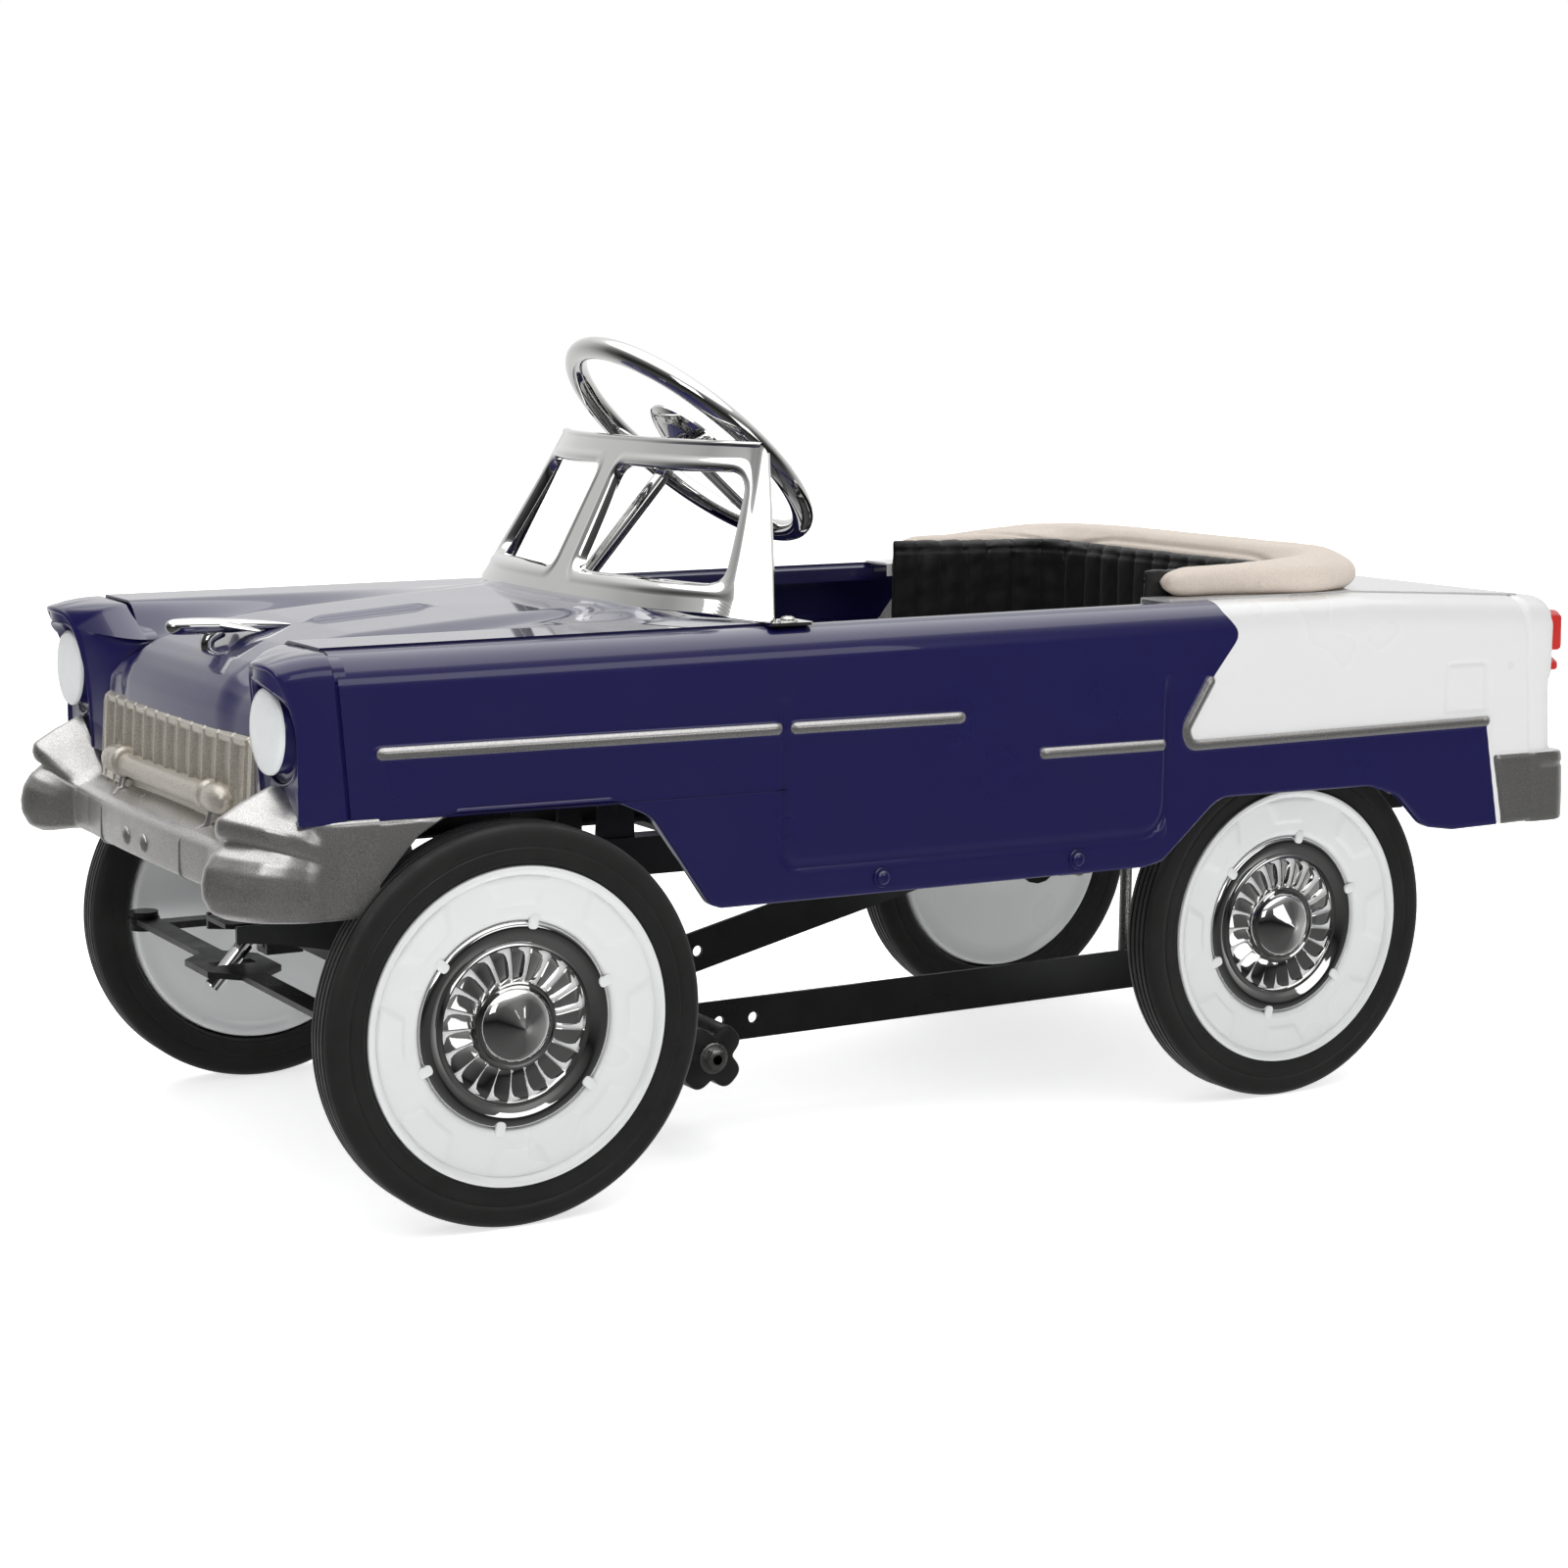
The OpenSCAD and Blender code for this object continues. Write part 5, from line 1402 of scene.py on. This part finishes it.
def disc():
    face = [(RIM_R - 3.2, 9.0), (RIM_R - 1.0, 12.2), (RIM_R - 0.2, 13.6), (RIM_R - 0.4, 14.6),
            (RIM_R - 1.4, 15.0), (RIM_R - 2.6, 14.5), (RIM_R - 3.8, 13.2)]
    face += [(r, 11.2 - (95 - r) * 0.09) for r in np.linspace(95, 71, 25)]
    face += [(69.5, 8.9), (68, 8.3), (66.8, 7.0), (65.8, 4.8), (60, 4.0), (11, 4.0), (9, 6.0), (8, 8.5),
             (6.2, 8.5), (6.2, 2.0)]
    back = [(6.2, -26.5), (10.8, -26.5), (11.2, -7.5), (14, -6.4), (40, -6.8), (60, -8.2), (80, -9.6),
            (91, -11.2), (93.5, -12.6), (95.0, -12.8), (96.0, -11.5), (97, -6)]
    return wheel_grid([(r, x) for r, x in face], 240, pads), lathe(back, 96, closed=False)


def clips():
    parts = []
    for k in range(6):
        outline = rounded([(60.5, -3.4), (70.5, -3.4), (70.5, 3.4), (60.5, 3.4)], 3.0, 5)
        tab = prism(outline, 0, 8.0, 10.4)
        parts.append(moved(tab, turn=(60 * k + 20, 0, 0)))
    return joined(parts)


def cap():
    """Chrome cover: rolled edge, a bright dished ring, the fins' floor and a pointed centre."""
    profile = [(CAP_R - 1.5, 5.0), (CAP_R, 6.0), (CAP_R + 0.4, 7.4), (CAP_R - 0.6, 8.8),
               (CAP_R - 2.6, 9.4), (CAP_R - 5.5, 9.4), (57, 8.8), (54, 7.2), (52, 6.2), (51, 6.6),
               (50, 7.4), (49, 7.4), (48.2, 6.0), (47.6, 4.6), (46, 4.4), (31, 4.4), (29.4, 4.8),
               (28.6, 6.6), (27.4, 8.6), (26.2, 9.0), (25.0, 8.4), (23.6, 8.8), (22.6, 10.4),
               (20.6, 12.2), (17, 14.0), (12, 16.2), (7, 18.4), (3.4, 20.0), (1.4, 21.2), (0.01, 21.8)]
    parts = [lathe(profile, 144, closed=False)]
    for k in range(FINS):
        rings = []
        for t in np.linspace(0, 1, 9):
            r = 28.5 + 19.5 * t
            half = 3.7 + 2.8 * t
            top = 7.6 - 0.8 * t - 0.9 * (2 * t - 1) ** 6
            rings.append([(4.0, r, -half), (top - 2.6, r, -half), (top - 2.2, r, -half + 0.5),
                          (top - 0.2, r, half - 1.0), (top, r, half - 0.6), (top - 0.4, r, half),
                          (4.0, r, half)])
        parts.append(moved(sweep(rings), turn=(360 / FINS * k, 0, 0)))
    return joined(parts)


WHEELS = [("front_left", 1, FRONT_AXLE, FRONT_TRACK, "wheel_front_left"),
          ("front_right", -1, FRONT_AXLE, FRONT_TRACK, "wheel_front_right"),
          ("rear_left", 1, REAR_AXLE, REAR_TRACK, "crank"),
          ("rear_right", -1, REAR_AXLE, REAR_TRACK, "wheel_rear_right")]


def wheel_pieces():
    face, back = disc()
    for name, side, axle, track, body in WHEELS:
        at = (side * track, axle, AXLE_Z)
        piece(f"{name}_tyre_look", moved(sided(tyre(), side), at), body, LOOKS["tyre"],
              replaces=f"{name}_tyre", angle=35)
        piece(f"{name}_disc", moved(sided(joined([face, back]), side), at), body, LOOKS["wheel"],
              replaces=f"{name}_wheel", thick=1.0, angle=50, outward=False)
        piece(f"{name}_clips", moved(sided(clips(), side), at), body, LOOKS["wheel"],
              bevel=0.8, angle=40)
        piece(f"{name}_cover", moved(sided(cap(), side), at), body, LOOKS["chrome"],
              replaces=f"{name}_cap", angle=38)


# ---- drive ----


def pedal(side):
    """A rubber block with four lobes and a scalloped waist."""
    lo, hi = node_box("left_pedal" if side > 0 else "right_pedal")
    centre = (lo + hi) / 2
    half = (hi[1] - lo[1]) / 2
    a = np.linspace(0, 2 * math.pi, 97)[:-1]
    radius = half * (0.86 + 0.17 * np.cos(4 * (a - math.pi / 4)) - 0.05 * np.cos(8 * (a - math.pi / 4)))
    radius *= 1.12
    outline = np.clip(np.column_stack([radius * np.cos(a), radius * np.sin(a)]), -half, half)
    rings = []
    for inset, x in ((1.6, lo[0]), (0.5, lo[0] + 0.6), (0, lo[0] + 2), (0, hi[0] - 2), (0.5, hi[0] - 0.6),
                     (1.6, hi[0])):
        shape = outline * (1 - inset / half)
        rings.append(np.column_stack([np.full(96, x), shape + centre[1:]]))
    return sweep(rings)


def pedal_hardware(side):
    """Zinc bolt with its washer and hexagon nut at the block's outer end, and the head at the strap."""
    lo, hi = node_box("left_pedal_bolt" if side > 0 else "right_pedal_bolt")
    block_lo, block_hi = node_box("left_pedal" if side > 0 else "right_pedal")
    y, z = (block_lo[1:] + block_hi[1:]) / 2
    outer, inner = (hi[0], lo[0]) if side > 0 else (lo[0], hi[0])
    face = block_hi[0] if side > 0 else block_lo[0]
    rod = tube([(x, 0, 0) for x in np.linspace(inner, outer, 8)], 3.9, 24)
    washer = lathe([(4.1, face + side * 0.2), (10.6, face + side * 0.2), (10.8, face + side * 1.0),
                    (10.4, face + side * 1.8), (4.1, face + side * 1.8)], 48)
    nut = moved(prism(circle(7.5, 6), 0, min(face + side * 1.9, outer), max(face + side * 1.9, outer)))
    head = prism(circle(7.5, 6), 0, min(inner, inner + side * 5), max(inner, inner + side * 5))
    return moved(joined([rod, washer, nut, head]), (0, y, z))


CARRIED = {
    "black": ["seat_pan", "left_rail", "right_rail", "cross_members", "front_axle_beam", "front_struts",
              "column_foot", "column_bracket", "axle_hangers", "tie_rod", "left_knuckle", "right_knuckle",
              "left_strap", "right_strap", "left_pedal_hanger", "right_pedal_hanger"],
    "zinc": ["hanger_rod", "kingpins", "left_spindle_nut", "right_spindle_nut", "crank_axle",
             "rear_axle_nuts"],
    "chrome": ["steering_column"],
    "nylon": ["axle_bushes", "left_crank_bearing", "right_crank_bearing"],
}


def drive_pieces():
    for side, name in ((1, "left"), (-1, "right")):
        piece(f"{name}_pedal_rubber", pedal(side), f"{name}_pedal_block", LOOKS["pedal"],
              replaces=f"{name}_pedal", angle=50)
        piece(f"{name}_pedal_hardware", pedal_hardware(side), f"{name}_drive", LOOKS["zinc"],
              replaces=f"{name}_pedal_bolt", bevel=0.4, angle=35)
    for look, nodes in CARRIED.items():
        for node in nodes:
            mesh = frame["nodes"][node].data
            mesh.materials.clear()
            mesh.materials.append(LOOKS[look])


# ---- studio ----

CAMERA_AT = (1880.8, -1140.5, 550.4)
CAMERA_TO = (0.0, -27.5, 225.7)
CAMERA_ROLL = math.radians(0.73)
CAMERA_LENS = 69.57


def paint(name, colour, rough):
    look = Look(name, {"Specular IOR Level": 0.2})
    look.to("Base Color", look.mix(look.noise(300.0), tinted(colour, 0.99), colour))
    look.to("Roughness", look.remap(look.noise(40.0), 0.3, 0.7, rough, rough + 0.1))
    return look.bump((look.noise(2.0), 0.02)).material


RAMP_WHITE = 3.0                     # the light that a ramp's 1.0 stands for
FLOOR_GLOW = 0.68
BACKDROP_LIGHT = [(-1.0, 0.003), (-0.1, 0.003), (0.15, 0.03), (0.3, 0.08), (0.55, 0.15), (0.82, 0.21),
                  (1.0, 0.27)]
OVERHEAD_LIGHT = [(-1.0, 0.03), (-0.2, 0.012), (0.05, 0.0), (0.45, 0.03), (0.62, 0.09), (0.75, 0.22),
                  (1.0, 0.30)]


def grey_ramp(nodes, links, value, stops):
    """A colour ramp over a value from -1 to 1, with its stops given in that range."""
    remap = nodes.new("ShaderNodeMapRange")
    remap.inputs["From Min"].default_value = -1.0
    links.new(value, remap.inputs["Value"])
    ramp = nodes.new("ShaderNodeValToRGB")
    for index, (at, grey) in enumerate(stops):
        at = (at + 1) / 2
        stop = ramp.color_ramp.elements[index] if index < 2 else ramp.color_ramp.elements.new(at)
        stop.position, stop.color = at, (grey, grey, grey, 1.0)
    links.new(remap.outputs[0], ramp.inputs[0])
    return ramp.outputs[0]


def studio():
    size = 9000
    mesh = bpy.data.meshes.new("studio_floor")
    mesh.from_pydata([(x * MM, y * MM, 0.0)
                      for x, y in ((-size, -size), (size, -size), (size, size), (-size, size))], [],
                     [(0, 1, 2, 3)])
    floor = bpy.data.objects.new("studio_floor", mesh)
    white = paint("floor_white", (0.93, 0.93, 0.93), 0.6)
    surface = white.node_tree.nodes["Principled BSDF"].inputs
    surface["Emission Color"].default_value = (1.0, 1.0, 1.0, 1.0)
    surface["Emission Strength"].default_value = FLOOR_GLOW
    floor.data.materials.append(white)
    floor.visible_glossy = False
    SCENE.collection.objects.link(floor)
    world = bpy.data.worlds.new("studio_light")
    world.use_nodes = True
    SCENE.world = world
    nodes, links = world.node_tree.nodes, world.node_tree.links
    back = nodes["Background"]
    place = nodes.new("ShaderNodeTexCoord")
    split = nodes.new("ShaderNodeSeparateXYZ")
    links.new(place.outputs["Generated"], split.inputs[0])
    facing = nodes.new("ShaderNodeVectorMath")
    facing.operation = "DOT_PRODUCT"
    links.new(place.outputs["Generated"], facing.inputs[0])
    facing.inputs[1].default_value = (-0.86, 0.50, 0.06)
    backdrop = grey_ramp(nodes, links, facing.outputs["Value"], BACKDROP_LIGHT)
    above = grey_ramp(nodes, links, split.outputs["Z"], OVERHEAD_LIGHT)
    total = nodes.new("ShaderNodeVectorMath")
    total.operation = "ADD"
    links.new(backdrop, total.inputs[0])
    links.new(above, total.inputs[1])
    scaled = nodes.new("ShaderNodeVectorMath")
    scaled.operation = "SCALE"
    links.new(total.outputs[0], scaled.inputs[0])
    scaled.inputs["Scale"].default_value = RAMP_WHITE
    path = nodes.new("ShaderNodeLightPath")
    mix = nodes.new("ShaderNodeMix")
    mix.data_type = "RGBA"
    links.new(path.outputs["Is Camera Ray"], mix.inputs[0])
    links.new(scaled.outputs[0], mix.inputs[6])
    mix.inputs[7].default_value = (1.0, 1.0, 1.0, 1.0)
    links.new(mix.outputs[2], back.inputs[0])
    back.inputs[1].default_value = 1.0
    SCENE.view_settings.view_transform = "Standard"
    sky = bpy.data.lights.new("ceiling", "SUN")
    sky.energy, sky.angle = 1.35, math.radians(90)
    SCENE.collection.objects.link(bpy.data.objects.new("ceiling", sky))
    lights = [("key", (2300, -2300, 1900), (0, -100, 250), 1500, 1200, 11),
              ("side", (3000, 900, 1300), (0, 0, 200), 1600, 1000, 6)]
    for name, at, to, wide, tall, power in lights:
        data = bpy.data.lights.new(name, "AREA")
        data.shape, data.size, data.size_y, data.energy = "RECTANGLE", wide * MM, tall * MM, power
        lamp_object = bpy.data.objects.new(name, data)
        lamp_object.location = Vector(at) * MM
        lamp_object.rotation_euler = (Vector(to) - Vector(at)).to_track_quat("-Z", "Y").to_euler()
        SCENE.collection.objects.link(lamp_object)


def camera():
    at, to = Vector(CAMERA_AT), Vector(CAMERA_TO)
    forward = (to - at).normalized()
    level = forward.cross(Vector((0, 0, 1))).normalized()
    upright = level.cross(forward)
    right = level * math.cos(CAMERA_ROLL) + upright * math.sin(CAMERA_ROLL)
    up = upright * math.cos(CAMERA_ROLL) - level * math.sin(CAMERA_ROLL)
    data = bpy.data.cameras.new("camera")
    data.lens, data.sensor_width, data.clip_start, data.clip_end = CAMERA_LENS, 36.0, 0.05, 60.0
    obj = bpy.data.objects.new("camera", data)
    matrix = obj.matrix_world.copy()
    for row in range(3):
        for column, value in enumerate((right[row], up[row], -forward[row], at[row] * MM)):
            matrix[row][column] = value
    obj.matrix_world = matrix
    SCENE.collection.objects.link(obj)
    SCENE.camera = obj


for one_side in (1, -1):
    body_side(one_side)
hood_pieces()
front_pieces()
windscreen_pieces()
steering_pieces()
rear_pieces()
soft_pieces()
wheel_pieces()
drive_pieces()
studio()
camera()
